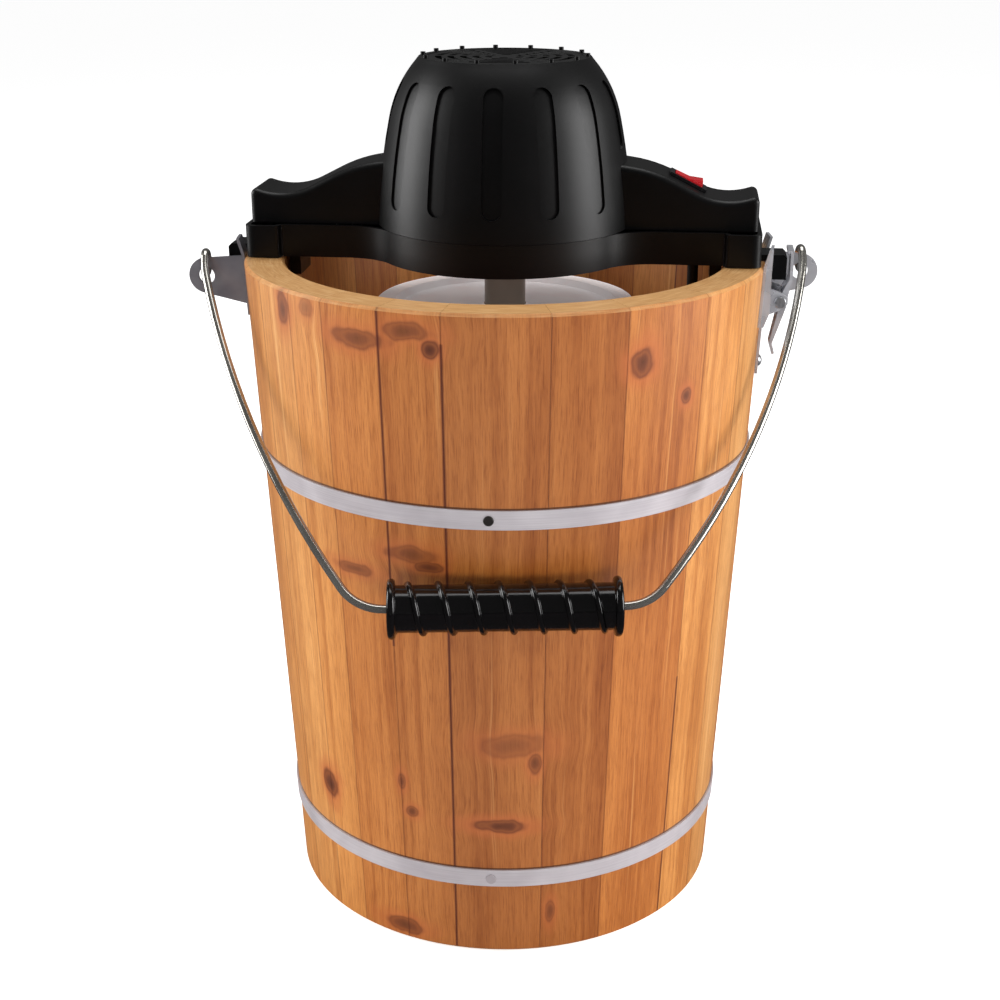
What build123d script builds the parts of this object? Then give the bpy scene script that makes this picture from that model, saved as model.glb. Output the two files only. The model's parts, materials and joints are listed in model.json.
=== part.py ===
from build123d import *

import math
import os

os.makedirs("parts", exist_ok=True)

# Millimetres. The origin is on the bucket's axis at the floor, +Z is up, -Y faces the viewer
# and X runs along the arms of the motor head.

# ---------------------------------------------------------------- bucket
bucket_height = 357.0
rim_radius = 138.0
foot_radius = 120.0
wall_thickness = 21.0
# Boards of mixed width: the degrees each stave takes, from the front seam towards +X.
stave_widths = (21.5, 16.0, 20.3, 14.7, 14.0, 18.0, 16.0, 14.0, 17.0, 15.0, 14.0, 17.0)
stave_widths += (16.0, 13.0, 15.0, 13.5, 13.5, 16.0, 12.0, 13.0, 13.0, 10.3, 13.9, 13.3)
stave_gap = 0.12
first_seam_angle = -96.5
edge_break = 1.5
board_bottom_z = 14.0
board_thickness = 16.0
croze_depth = 6.0
croze_clearance = 0.1

hoop_width = 10.0
hoop_thickness = 1.0
hoop_clearance = 0.05
upper_hoop_z = 254.6
lower_hoop_z = 47.8
nail_angle = -87.4
nail_shank_radius = 1.2
nail_head_radius = 2.6
nail_head_height = 0.9
nail_depth = 12.0
hole_clearance = 0.05

pivot_plate_radius = 16.0
pivot_plate_thickness = 2.0
pivot_pin_radius = 6.0
pivot_pin_height = 3.7
pivot_spigot_radius = 4.0
pivot_spigot_depth = 8.0

# ---------------------------------------------------------------- brackets, bail and latch
bracket_thickness = 1.5
bracket_gap = 0.05
flange_offset = 22.0
flange_thickness = 1.6
bracket_depth = 32.0
bracket_flare_height = 9.0
bracket_flare_out = 2.6
tail_length = 29.0
tail_half_width = 8.0
ear_length = 19.5
ear_drop = 11.2
ear_radius = 9.5
ear_hole_radius = 4.4
ear_root_depth = 26.0
short_flange_depth = 2.3
bracket_notch_depth = 4.0
bracket_notch_gap = 1.5
head_seat_gap = 0.2
screw_pair_angle = 5.6
screw_pair_drop = 8.0
tail_screw_drop = 55.5
screw_radius = 1.9
screw_head_radius = 3.4
screw_head_height = 1.8
screw_depth = 15.0

wire_radius = 2.2
eye_clearance = 0.4
eye_turn = 290.0
arm_lead_radius = 60.0
arm_lead_angle = 12.0
arm_corner_radius = 25.0
right_corner_angle = 39.0
left_corner_angle = 33.3
grip_length = 113.4
grip_barrel_radius = 11.6
grip_rib_radius = 13.4
grip_rib_width = 3.0
grip_rib_count = 8
grip_flange_radius = 14.8
grip_flange_width = 4.0
grip_bore_clearance = 0.1
grip_height_z = 214.0
grip_wall_gap = 0.3

latch_pivot_out = 8.0
latch_pivot_drop = 21.0
latch_barrel_radius = 4.0
latch_plate_thickness = 1.6
latch_half_width = 8.0
latch_pin_radius = 2.0
latch_pin_head_radius = 3.2
latch_pin_head_length = 1.4
pin_clearance = 0.05
latch_swing_gap = 2.0
latch_lip_gap = 0.4
lug_gap = 0.6
lug_thickness = 1.6

# ---------------------------------------------------------------- canister, lid and dasher
can_radius = 66.5
can_wall = 0.9
can_top_drop = 27.5
can_bead = 1.5
lid_overhang = 3.5
lid_wall = 1.7
lid_skirt_depth = 9.0
lid_dish_depth = 3.0
lid_dish_inset = 7.0
lid_dish_slope = 3.0
lid_edge_break = 1.2
lid_hub_radius = 11.0
lid_hub_gap = 0.6
lid_drive_flats = 17.4
lid_drive_height = 14.3
stem_bore_radius = 6.9
stem_side = 9.0
dasher_wall_gap = 8.5
dasher_bar = 6.0
dasher_thickness = 5.0
dasher_floor_gap = 8.0
dasher_top_gap = 29.5
paddle_count = 4
paddle_width = 24.0
paddle_thickness = 3.0
paddle_lean = 30.0
scraper_gap = 0.5
fit_gap = 0.3

# ---------------------------------------------------------------- motor head
base_height = 16.7
skirt_radius = 67.0
neck_half_width = 23.5
foot_half_width = 28.0
foot_length = 18.5
base_end_inset = 3.5
base_blend_radius = 30.0
base_wall = 2.5
base_floor = 3.0
tang_half_width = 9.0
tang_end_out = 10.5
tang_rise = 3.2
tang_drop = 9.8
tang_wall_gap = 0.6
tang_chamfer = 1.5
lug_wall_gap = 2.4
lug_depth = 12.0
guide_leg_inset = 17.0
guide_leg_radius = 2.9
guide_leg_length = 61.3

cover_gap = 0.2
dome_foot_radius = 67.0
dome_shoulder_radius = 60.2
dome_shoulder_rise = 54.0
dome_edge_radius = 46.0
dome_edge_rise = 83.0
dome_top_rise = 85.0
cover_wall = 2.5
arm_half_width = 19.0
arm_end_inset = 1.9
arm_dip_inset = 15.6
arm_dip_rise = 15.5
arm_dip_radius = 36.0
arm_slope = 27.0
arm_slope_length = 12.0
arm_crest_radius = 75.0
arm_crest_slope = 8.0
arm_edge_round = 3.0
flute_count = 14
flute_width = 10.0
flute_low_rise = 12.0
flute_high_drop = 8.5
flute_short_rise = 40.0
flute_depth = 1.2
grille_radius = 40.6
grille_thickness = 2.8
grille_ledge = 3.0
grille_ring_count = 5
grille_ring_pitch = 6.4
grille_slot_width = 3.4
grille_first_radius = 7.0
grille_spoke_count = 6
grille_spoke_width = 3.6
nub_count = 14
nub_radius = 1.3
nub_height = 1.6
cover_screw_x = 84.0
cover_screw_y = 13.0
cover_screw_radius = 1.9
cover_screw_head = 4.0
cover_boss_radius = 4.5
cover_boss_rise = 25.0

bezel_length = 21.0
bezel_width = 15.0
bezel_height = 1.8
switch_body_length = 18.4
switch_body_width = 12.4
switch_body_depth = 13.0
rocker_radius = 7.8
rocker_width = 10.2
rocker_gap = 0.3
trunnion_radius = 1.0
trunnion_length = 0.9

gland_x = 92.0
gland_drop = 8.0
gland_radius = 5.0
gland_length = 12.0

plate_rise = 10.0
plate_thickness = 3.2
plate_radius = 58.0
column_radius = 5.0
column_orbit = 50.0
column_count = 3
first_column_angle = 30.0
post_radius = 4.0
post_overlap = 5.0
post_count = 4
first_post_angle = 45.0
stator_rise = 19.0
stator_height = 27.0
stator_radius = 42.0
stator_ring = 8.0
rotor_radius = 22.0
rotor_gap = 0.4
pole_width = 16.0
coil_gap = 2.5
coil_side = 4.0
shaft_radius = 4.0
journal_radius = 3.0
journal_clearance = 0.05
bush_radius = 6.0
bridge_rise = 7.0
bridge_thickness = 3.0
fan_rise = 7.0
fan_height = 8.0
fan_radius = 34.0
fan_blade_count = 8

gear_module = 0.8
pinion_teeth = 14
wheel_teeth = 58
lay_pinion_teeth = 16
output_teeth = 56
pressure_angle = 20.0
backlash = 0.12
output_hub_radius = 12.8
output_gear_rise = 8.2
output_gear_width = 7.0
wheel_rise = 7.0
wheel_width = 5.0
idler_hub_radius = 7.8
idler_pin_radius = 2.5
idler_angle = 90.0

# ---------------------------------------------------------------- heights and reaches that follow
board_top_z = board_bottom_z + board_thickness
pivot_top_z = board_top_z + pivot_plate_thickness + pivot_pin_height
bracket_bottom_z = bucket_height - bracket_depth
ear_reach = rim_radius + ear_length
ear_hole_z = bucket_height - ear_drop
ear_root_low_z = bucket_height - ear_root_depth
screw_pair_z = bucket_height - screw_pair_drop
tail_screw_z = bucket_height - tail_screw_drop
latch_pivot_x = rim_radius + latch_pivot_out
latch_pivot_z = bucket_height - latch_pivot_drop

base_z = bucket_height + fit_gap
seam_z = base_z + base_height
base_floor_z = base_z + base_floor
base_end_x = rim_radius - base_end_inset
foot_start_x = base_end_x - foot_length
tang_end_x = rim_radius + tang_end_out
tang_top_z = base_z + tang_rise
tang_low_z = base_z - tang_drop
lug_outer_x = rim_radius - wall_thickness - lug_wall_gap
guide_leg_x = rim_radius - wall_thickness - guide_leg_inset
guide_leg_low_z = base_z - guide_leg_length
dome_shoulder_z = seam_z + dome_shoulder_rise
dome_edge_z = seam_z + dome_edge_rise
dome_top_z = seam_z + dome_top_rise
arm_end_x = base_end_x - arm_end_inset
arm_dip_x = arm_end_x - arm_dip_inset
arm_dip_z = seam_z + arm_dip_rise
flute_low_z = seam_z + flute_low_rise
flute_high_z = dome_edge_z - flute_high_drop
flute_short_low_z = seam_z + flute_short_rise
cover_boss_top_z = seam_z + cover_boss_rise
gland_z = seam_z - gland_drop
plate_z = seam_z + plate_rise
plate_top_z = plate_z + plate_thickness
output_gear_z = base_z + output_gear_rise
wheel_z = plate_z + wheel_rise
stator_low_z = plate_z + stator_rise
post_orbit = stator_radius + post_overlap
coil_inner = rotor_radius + coil_gap
coil_outer = stator_radius - stator_ring - coil_gap - 0.5
bridge_z = stator_low_z + stator_height + bridge_rise
fan_z = bridge_z + fan_rise

can_floor_z = pivot_top_z + fit_gap
can_top_z = bucket_height - can_top_drop
lid_radius = can_radius + lid_overhang
lid_skirt_z = can_top_z - lid_skirt_depth
lid_rim_z = can_top_z + fit_gap + lid_wall
lid_plate_z = lid_rim_z - lid_dish_depth
lid_dish_radius = can_radius - lid_dish_inset
lid_hub_top_z = base_z - lid_hub_gap
lid_drive_top_z = lid_hub_top_z + lid_drive_height
stem_top_z = plate_z - 1.0
dasher_half_width = can_radius - dasher_wall_gap
dasher_low_z = can_floor_z + dasher_floor_gap
dasher_high_z = can_top_z - dasher_top_gap

# ---------------------------------------------------------------- shared geometry


def outer_radius(z):
    """Outer radius of the tapering bucket wall at height z."""
    return foot_radius + (rim_radius - foot_radius) * z / bucket_height


def inner_radius(z):
    """Inner radius of the bucket wall at height z."""
    return outer_radius(z) - wall_thickness


def radial_plane(angle):
    """Upright plane through the axis: local x points out at the angle, local y is up."""
    turn = math.radians(angle)
    return Plane(
        origin=(0, 0, 0),
        x_dir=(math.cos(turn), math.sin(turn), 0),
        z_dir=(math.sin(turn), -math.cos(turn), 0),
    )


def outward_plane(angle, radius, z):
    """Plane at a radius and height whose normal points straight out at the angle."""
    turn = math.radians(angle)
    return Plane(
        origin=(radius * math.cos(turn), radius * math.sin(turn), z),
        x_dir=(-math.sin(turn), math.cos(turn), 0),
        z_dir=(math.cos(turn), math.sin(turn), 0),
    )


def save(builder, name):
    """Labels a finished sub-part and writes it under its own name."""
    builder.part.label = name
    export_step(builder.part, f"parts/{name}.step")


def involute(angle):
    """Involute function of a pressure angle in radians."""
    return math.tan(angle) - angle


def gear_points(teeth, turn):
    """Corner and mid points of each tooth of an involute gear, tooth 0 centred on the turn."""
    pitch_radius = gear_module * teeth / 2
    base_radius = pitch_radius * math.cos(math.radians(pressure_angle))
    tip_radius = pitch_radius + gear_module
    root_radius = pitch_radius - 1.25 * gear_module
    half_pitch = math.pi / (2 * teeth) - backlash / (4 * pitch_radius)

    def half_angle(radius):
        flank = math.acos(min(1.0, base_radius / radius))
        return half_pitch + involute(math.radians(pressure_angle)) - involute(flank)

    low_radius = max(root_radius, base_radius)
    mid_radius = (low_radius + tip_radius) / 2
    corners = []
    for tooth in range(teeth):
        centre = turn + 2 * math.pi * tooth / teeth
        corners.append(
            [
                (radius * math.cos(centre + sign * half_angle(at)), radius * math.sin(centre + sign * half_angle(at)))
                for radius, at, sign in (
                    (root_radius, low_radius, -1),
                    (mid_radius, mid_radius, -1),
                    (tip_radius, tip_radius, -1),
                    (tip_radius, tip_radius, 1),
                    (mid_radius, mid_radius, 1),
                    (root_radius, low_radius, 1),
                )
            ]
        )
    return corners


def draw_gear(teeth, turn):
    """Draws the closed gear outline into the sketch that is open."""
    corners = gear_points(teeth, turn)
    with BuildLine() as outline:
        for index, tooth in enumerate(corners):
            ThreePointArc(tooth[0], tooth[1], tooth[2])
            Line(tooth[2], tooth[3])
            ThreePointArc(tooth[3], tooth[4], tooth[5])
            Line(tooth[5], corners[(index + 1) % teeth][0])
    make_face(outline.edges())


# Nails through the hoops and screws through the brackets, as angle, height, radius and depth.
wall_fixings = [(nail_angle, z, nail_shank_radius, nail_depth) for z in (upper_hoop_z, lower_hoop_z)]
bracket_screw_places = []
for bracket_angle in (0.0, 180.0):
    bracket_screw_places.append((bracket_angle - screw_pair_angle, screw_pair_z))
    bracket_screw_places.append((bracket_angle + screw_pair_angle, screw_pair_z))
    bracket_screw_places.append((bracket_angle, tail_screw_z))
wall_fixings += [(angle, z, screw_radius, screw_depth) for angle, z in bracket_screw_places]

# ---------------------------------------------------------------- staves
stave_gap_angle = math.degrees(stave_gap / rim_radius)

for index, width in enumerate(stave_widths):
    seam_turn = 360.0 * sum(stave_widths[:index]) / sum(stave_widths)
    stave_start = first_seam_angle + seam_turn + stave_gap_angle / 2
    stave_turn = 360.0 * width / sum(stave_widths) - stave_gap_angle
    with BuildPart() as stave:
        with BuildSketch(radial_plane(stave_start)):
            with BuildLine():
                Polyline(
                    (outer_radius(0) - edge_break, 0),
                    (outer_radius(edge_break), edge_break),
                    (outer_radius(bucket_height - edge_break), bucket_height - edge_break),
                    (rim_radius - edge_break, bucket_height),
                    (inner_radius(bucket_height) + edge_break, bucket_height),
                    (inner_radius(bucket_height - edge_break), bucket_height - edge_break),
                    (inner_radius(board_top_z + croze_clearance), board_top_z + croze_clearance),
                    (inner_radius(board_top_z) + croze_depth, board_top_z + croze_clearance),
                    (inner_radius(board_bottom_z) + croze_depth, board_bottom_z - croze_clearance),
                    (inner_radius(board_bottom_z - croze_clearance), board_bottom_z - croze_clearance),
                    (inner_radius(edge_break), edge_break),
                    (inner_radius(0) + edge_break, 0),
                    close=True,
                )
            make_face()
        revolve(axis=Axis.Z, revolution_arc=stave_turn)
        for angle, z, radius, depth in wall_fixings:
            offset_angle = (angle - stave_start + 3.0) % 360.0
            if offset_angle < stave_turn + 6.0:
                with BuildSketch(outward_plane(angle, outer_radius(z) + 3.0, z)):
                    Circle(radius + hole_clearance)
                extrude(amount=-(depth + 3.0), mode=Mode.SUBTRACT)
    save(stave, f"stave_{index + 1:02d}")

# ---------------------------------------------------------------- bottom board and canister pivot
with BuildPart() as bucket_bottom:
    with BuildSketch(Plane.XY.offset(board_bottom_z)):
        Circle(inner_radius(board_bottom_z) + croze_depth - 0.2)
    extrude(amount=board_thickness)
    with BuildSketch(Plane.XY.offset(board_top_z)):
        Circle(pivot_spigot_radius + hole_clearance)
    extrude(amount=-(pivot_spigot_depth + hole_clearance), mode=Mode.SUBTRACT)
save(bucket_bottom, "bucket_bottom")

with BuildPart() as can_pivot:
    with BuildSketch(Plane.XY.offset(board_top_z)):
        Circle(pivot_plate_radius)
    extrude(amount=pivot_plate_thickness)
    with BuildSketch(Plane.XY.offset(board_top_z - pivot_spigot_depth)):
        Circle(pivot_spigot_radius)
    extrude(amount=pivot_spigot_depth)
    with BuildSketch(Plane.XY.offset(board_top_z + pivot_plate_thickness)):
        Circle(pivot_pin_radius)
    extrude(amount=pivot_pin_height)
    fillet(can_pivot.faces().sort_by(Axis.Z)[-1].edges(), 1.2)
save(can_pivot, "can_pivot")

# ---------------------------------------------------------------- hoops and nails
for hoop_name, hoop_z in (("upper_hoop", upper_hoop_z), ("lower_hoop", lower_hoop_z)):
    low_z = hoop_z - hoop_width / 2
    high_z = hoop_z + hoop_width / 2
    with BuildPart() as hoop:
        with BuildSketch(Plane.XZ):
            with BuildLine():
                Polyline(
                    (outer_radius(low_z) + hoop_clearance, low_z),
                    (outer_radius(low_z) + hoop_clearance + hoop_thickness, low_z),
                    (outer_radius(high_z) + hoop_clearance + hoop_thickness, high_z),
                    (outer_radius(high_z) + hoop_clearance, high_z),
                    close=True,
                )
            make_face()
        revolve(axis=Axis.Z)
        with BuildSketch(outward_plane(nail_angle, outer_radius(hoop_z) - 5.0, hoop_z)):
            Circle(nail_shank_radius + hole_clearance)
        extrude(amount=12.0, mode=Mode.SUBTRACT)
    save(hoop, hoop_name)

with BuildPart() as hoop_nails:
    for hoop_z in (upper_hoop_z, lower_hoop_z):
        head_foot = outer_radius(hoop_z) + hoop_clearance + hoop_thickness + head_seat_gap
        with BuildSketch(outward_plane(nail_angle, head_foot, hoop_z)):
            Circle(nail_head_radius)
        extrude(amount=nail_head_height)
        with BuildSketch(outward_plane(nail_angle, head_foot, hoop_z)):
            Circle(nail_shank_radius)
        extrude(amount=-(nail_depth - 1.0))
    head_faces = hoop_nails.faces().sort_by(Axis.Y)[:2]
    chamfer(head_faces.edges(), 0.4)
save(hoop_nails, "hoop_nails")

# ---------------------------------------------------------------- brackets
flange_angle = math.degrees(math.asin((flange_offset + flange_thickness) / rim_radius))
tail_angle = math.degrees(math.asin(tail_half_width / rim_radius))
tail_bottom_z = bracket_bottom_z - tail_length
flare_top_z = bucket_height + bracket_flare_height


def bracket_wall(z):
    """Radius of the bracket's inner face at height z, flared out above the rim."""
    if z <= bucket_height:
        return outer_radius(z) + bracket_gap
    return rim_radius + bracket_gap + bracket_flare_out * (z - bucket_height) / bracket_flare_height


def sheet_x(z):
    """X of the middle of the bracket's sheet where the flanges leave it."""
    return math.sqrt((bracket_wall(z) + bracket_thickness / 2) ** 2 - flange_offset**2)


def draw_bracket():
    """Adds the sheet bracket of the +X side to the part that is open: wrapped plate, tail and flanges."""
    for low_z, high_z, half_angle in (
        (bracket_bottom_z, flare_top_z, flange_angle),
        (tail_bottom_z, bracket_bottom_z + 1.0, tail_angle),
    ):
        bend_z = min(high_z - 0.5, bucket_height)
        with BuildSketch(radial_plane(-half_angle)) as section:
            with BuildLine():
                Polyline(
                    (bracket_wall(low_z), low_z),
                    (bracket_wall(low_z) + bracket_thickness, low_z),
                    (bracket_wall(bend_z) + bracket_thickness, bend_z),
                    (bracket_wall(high_z) + bracket_thickness, high_z),
                    (bracket_wall(high_z), high_z),
                    (bracket_wall(bend_z), bend_z),
                    close=True,
                )
            make_face()
        revolve(section.sketch, axis=Axis.Z, revolution_arc=2 * half_angle)
    # ear flange on one side, short flange on the other
    with BuildSketch(Plane.XZ.offset(-(flange_offset + flange_thickness / 2))) as ear:
        with BuildLine():
            Line((sheet_x(ear_root_low_z), ear_root_low_z), (sheet_x(bucket_height), bucket_height))
            CenterArc((ear_reach, ear_hole_z), ear_radius, 0, 360)
        make_hull()
        with Locations((ear_reach, ear_hole_z)):
            Circle(ear_hole_radius, mode=Mode.SUBTRACT)
    extrude(ear.sketch, amount=flange_thickness)
    with BuildSketch(Plane.XZ.offset(flange_offset - flange_thickness / 2)) as short_flange:
        with BuildLine():
            Polyline(
                (sheet_x(bracket_bottom_z), bracket_bottom_z),
                (sheet_x(bracket_bottom_z) + 2.0, bracket_bottom_z),
                (rim_radius + short_flange_depth, bracket_bottom_z + 8.0),
                (rim_radius + short_flange_depth, bucket_height - 4.0),
                (sheet_x(flare_top_z) + 1.0, flare_top_z),
                (sheet_x(flare_top_z), flare_top_z),
                (sheet_x(bucket_height), bucket_height),
                close=True,
            )
        make_face()
    extrude(short_flange.sketch, amount=flange_thickness)
    # notch for the motor head's tang, then the screw holes
    with BuildSketch(Plane.XY.offset(bucket_height - bracket_notch_depth)) as notch:
        with Locations((rim_radius, 0)):
            Rectangle(30.0, 2 * (tang_half_width + bracket_notch_gap))
    extrude(notch.sketch, amount=30.0, mode=Mode.SUBTRACT)
    for angle, z in bracket_screw_places[:3]:
        with BuildSketch(outward_plane(angle, outer_radius(z) - 5.0, z)) as hole:
            Circle(screw_radius + hole_clearance)
        extrude(hole.sketch, amount=15.0, mode=Mode.SUBTRACT)


lug_inner_y = latch_half_width + 0.8 + lug_gap
with BuildPart() as plain_bracket:
    draw_bracket()

with BuildPart() as right_bracket:
    add(plain_bracket.part)
    for side in (1, -1):
        with BuildSketch(Plane.XZ.offset(-side * (lug_inner_y + lug_thickness / 2))):
            with BuildLine():
                Polyline(
                    (outer_radius(latch_pivot_z) + 0.8, latch_pivot_z - 8.0),
                    (latch_pivot_x, latch_pivot_z - 4.5),
                    (latch_pivot_x + 4.0, latch_pivot_z - 1.0),
                    (latch_pivot_x + 4.0, latch_pivot_z + 2.5),
                    (latch_pivot_x, latch_pivot_z + 5.0),
                    (outer_radius(latch_pivot_z) + 0.8, latch_pivot_z + 8.0),
                    close=True,
                )
            make_face()
            with Locations((latch_pivot_x, latch_pivot_z)):
                Circle(latch_pin_radius + 0.02, mode=Mode.SUBTRACT)
        extrude(amount=lug_thickness / 2, both=True)
save(right_bracket, "right_bracket")

with BuildPart() as left_bracket:
    add(plain_bracket.part.rotate(Axis.Z, 180))
save(left_bracket, "left_bracket")

with BuildPart() as bracket_screws:
    for angle, z in bracket_screw_places:
        head_foot = outer_radius(z) + bracket_gap + bracket_thickness + head_seat_gap
        with BuildSketch(radial_plane(angle)):
            with BuildLine():
                tip_x = outer_radius(z) - screw_depth + 1.0
                Line((tip_x, z), (head_foot + screw_head_height, z))
                ThreePointArc(
                    (head_foot + screw_head_height, z),
                    (head_foot + screw_head_height * 0.72, z + screw_head_radius * 0.62),
                    (head_foot, z + screw_head_radius),
                )
                Polyline(
                    (head_foot, z + screw_head_radius),
                    (head_foot, z + screw_radius),
                    (tip_x + 3.0, z + screw_radius),
                    (tip_x, z + 0.3),
                    (tip_x, z),
                )
            make_face()
        turn = math.radians(angle)
        revolve(axis=Axis((0, 0, z), (math.cos(turn), math.sin(turn), 0)))
save(bracket_screws, "bracket_screws")

# ---------------------------------------------------------------- latch
latch_top_z = tang_top_z + 0.6
latch_face_x = tang_end_x + latch_swing_gap
latch_lip_x = tang_end_x + latch_lip_gap
with BuildPart() as latch_lever:
    with BuildSketch(Plane.XZ.offset(-latch_half_width)):
        with BuildLine():
            Polyline(
                (latch_lip_x, latch_top_z),
                (latch_lip_x, latch_top_z + latch_plate_thickness),
                (latch_face_x + latch_plate_thickness, latch_top_z + latch_plate_thickness),
                (latch_face_x + latch_plate_thickness, latch_pivot_z + 11.0),
                (latch_pivot_x + latch_barrel_radius, latch_pivot_z + 2.0),
                (latch_pivot_x + latch_barrel_radius - 0.4, latch_pivot_z - 3.0),
                (latch_pivot_x - 2.8, latch_pivot_z - 24.0),
                (latch_pivot_x - 1.2, latch_pivot_z - 29.5),
                (latch_pivot_x - 2.6, latch_pivot_z - 30.0),
                (latch_pivot_x - 4.4, latch_pivot_z - 24.0),
                (latch_pivot_x, latch_pivot_z - 3.0),
                (latch_pivot_x, latch_pivot_z + 2.0),
                (latch_face_x, latch_pivot_z + 11.8),
                (latch_face_x, latch_top_z),
                close=True,
            )
        make_face()
    extrude(amount=2 * latch_half_width)
    with BuildSketch(Plane.XZ.offset(-(latch_half_width + 0.8))):
        with Locations((latch_pivot_x, latch_pivot_z)):
            Circle(latch_barrel_radius)
    extrude(amount=2 * (latch_half_width + 0.8))
    with BuildSketch(Plane.XZ.offset(-(latch_half_width + 2.0))):
        with Locations((latch_pivot_x, latch_pivot_z)):
            Circle(latch_pin_radius + pin_clearance)
    extrude(amount=2 * (latch_half_width + 2.0), mode=Mode.SUBTRACT)
    # the thumb tab narrows towards its tip
    for side in (1, -1):
        with BuildSketch(Plane.YZ.offset(latch_pivot_x - 12.0)):
            with BuildLine():
                Polyline(
                    (side * (latch_half_width + 1.0), latch_pivot_z - 8.0),
                    (side * latch_half_width, latch_pivot_z - 8.0),
                    (side * 4.5, latch_pivot_z - 31.0),
                    (side * (latch_half_width + 1.0), latch_pivot_z - 31.0),
                    close=True,
                )
            make_face()
        extrude(amount=24.0, mode=Mode.SUBTRACT)
save(latch_lever, "latch_lever")

with BuildPart() as latch_pin:
    pin_half = lug_inner_y + lug_thickness + 0.2
    with BuildSketch(Plane.XZ.offset(-pin_half)):
        with Locations((latch_pivot_x, latch_pivot_z)):
            Circle(latch_pin_radius)
    extrude(amount=2 * pin_half)
    for head_start in (-pin_half - latch_pin_head_length, pin_half):
        with BuildSketch(Plane.XZ.offset(head_start)):
            with Locations((latch_pivot_x, latch_pivot_z)):
                Circle(latch_pin_head_radius)
        extrude(amount=latch_pin_head_length)
    fillet(latch_pin.faces().sort_by(Axis.Y)[0].edges(), 0.8)
    fillet(latch_pin.faces().sort_by(Axis.Y)[-1].edges(), 0.8)
save(latch_pin, "latch_pin")

# ---------------------------------------------------------------- bail
# Each eye is a ring round the strip of ear above its hole. The line through both ring centres
# is the hinge, and the arms leave the rings along a tangent.
ear_strip = ear_radius - ear_hole_radius
hinge_z = ear_hole_z + ear_hole_radius + ear_strip / 2
eye_radius = math.hypot(ear_strip / 2, flange_thickness / 2) + eye_clearance + wire_radius
half_span = math.hypot(ear_reach, flange_offset)
hinge_dir = Vector(ear_reach / half_span, flange_offset / half_span, 0)
front_dir = Vector(hinge_dir.Y, -hinge_dir.X, 0)
grip_orbit = outer_radius(grip_height_z) + grip_rib_radius + grip_wall_gap
grip_drop = hinge_z - grip_height_z
grip_distance = math.hypot(grip_orbit, grip_drop)
bail_angle = math.atan2(grip_orbit, grip_drop) - math.asin(eye_radius / grip_distance)
bail_reach = math.sqrt(grip_distance**2 - eye_radius**2)
bail_normal = front_dir * math.cos(bail_angle) + Vector(0, 0, 1) * math.sin(bail_angle)
bail_plane = Plane(
    origin=Vector(0, 0, hinge_z) + bail_normal * eye_radius,
    x_dir=hinge_dir,
    z_dir=bail_normal,
)

lead_turn = math.radians(arm_lead_angle)
lead_drop = arm_lead_radius * math.sin(lead_turn)


def arm_point(radius, start_x, start_y, from_turn, to_turn):
    """Point reached on an arm arc of the given radius that turns from one lean to another."""
    return (
        start_x - radius * (math.cos(from_turn) - math.cos(to_turn)),
        start_y - radius * (math.sin(to_turn) - math.sin(from_turn)),
    )


def arm_arcs(corner_angle):
    """Start, middle and end of each arc of an arm, from the eye to the grip."""
    corner_turn = math.radians(corner_angle)
    corner_drop = arm_corner_radius * (1 - math.sin(corner_turn))
    sweep_radius = (bail_reach - lead_drop - corner_drop) / (math.sin(corner_turn) - math.sin(lead_turn))
    arcs = []
    x, y = half_span, 0.0
    for radius, from_turn, to_turn in (
        (arm_lead_radius, 0.0, lead_turn),
        (sweep_radius, lead_turn, corner_turn),
        (arm_corner_radius, corner_turn, math.pi / 2),
    ):
        middle = arm_point(radius, x, y, from_turn, (from_turn + to_turn) / 2)
        end = arm_point(radius, x, y, from_turn, to_turn)
        arcs.append(((x, y), middle, end))
        x, y = end
    return arcs


def eye_point(side, turn):
    """Point of the eye ring on one side, where turn 0 is where the arm leaves."""
    angle = math.radians(turn)
    return (side * half_span, eye_radius * math.sin(angle), eye_radius * math.cos(angle) - eye_radius)


right_arcs = arm_arcs(right_corner_angle)
left_arcs = arm_arcs(left_corner_angle)
right_end = right_arcs[-1][2][0]
left_end = left_arcs[-1][2][0]

with BuildPart() as bail_wire:
    with BuildLine(bail_plane) as bail_path:
        ThreePointArc(eye_point(1, eye_turn), eye_point(1, eye_turn / 2), eye_point(1, 0))
        for start, middle, end in right_arcs:
            ThreePointArc(start, middle, end)
        Line((right_end, -bail_reach), (-left_end, -bail_reach))
        for start, middle, end in reversed(left_arcs):
            ThreePointArc((-end[0], end[1]), (-middle[0], middle[1]), (-start[0], start[1]))
        ThreePointArc(eye_point(-1, 0), eye_point(-1, eye_turn / 2), eye_point(-1, eye_turn))
    with BuildSketch(Plane(origin=bail_path.line @ 0, z_dir=bail_path.line % 0)):
        Circle(wire_radius)
    sweep()
save(bail_wire, "bail_wire")

grip_centre = bail_plane.from_local_coords(Vector((right_end - left_end) / 2, -bail_reach, 0))
grip_plane = Plane(
    origin=grip_centre - hinge_dir * (grip_length / 2),
    x_dir=bail_normal,
    z_dir=hinge_dir,
)
with BuildPart() as bail_grip:
    with BuildSketch(grip_plane):
        Circle(grip_barrel_radius)
    extrude(amount=grip_length)
    for flange_start in (0.0, grip_length - grip_flange_width):
        with BuildSketch(grip_plane.offset(flange_start)):
            Circle(grip_flange_radius)
        extrude(amount=grip_flange_width)
    rib_pitch = (grip_length - 2 * grip_flange_width) / (grip_rib_count + 1)
    for rib in range(grip_rib_count):
        rib_start = grip_flange_width + (rib + 1) * rib_pitch - grip_rib_width / 2
        with BuildSketch(grip_plane.offset(rib_start)):
            Circle(grip_rib_radius)
        extrude(amount=grip_rib_width)
    with BuildSketch(grip_plane.offset(-1.0)):
        Circle(wire_radius + grip_bore_clearance)
    extrude(amount=grip_length + 2.0, mode=Mode.SUBTRACT)
save(bail_grip, "bail_grip")

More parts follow.
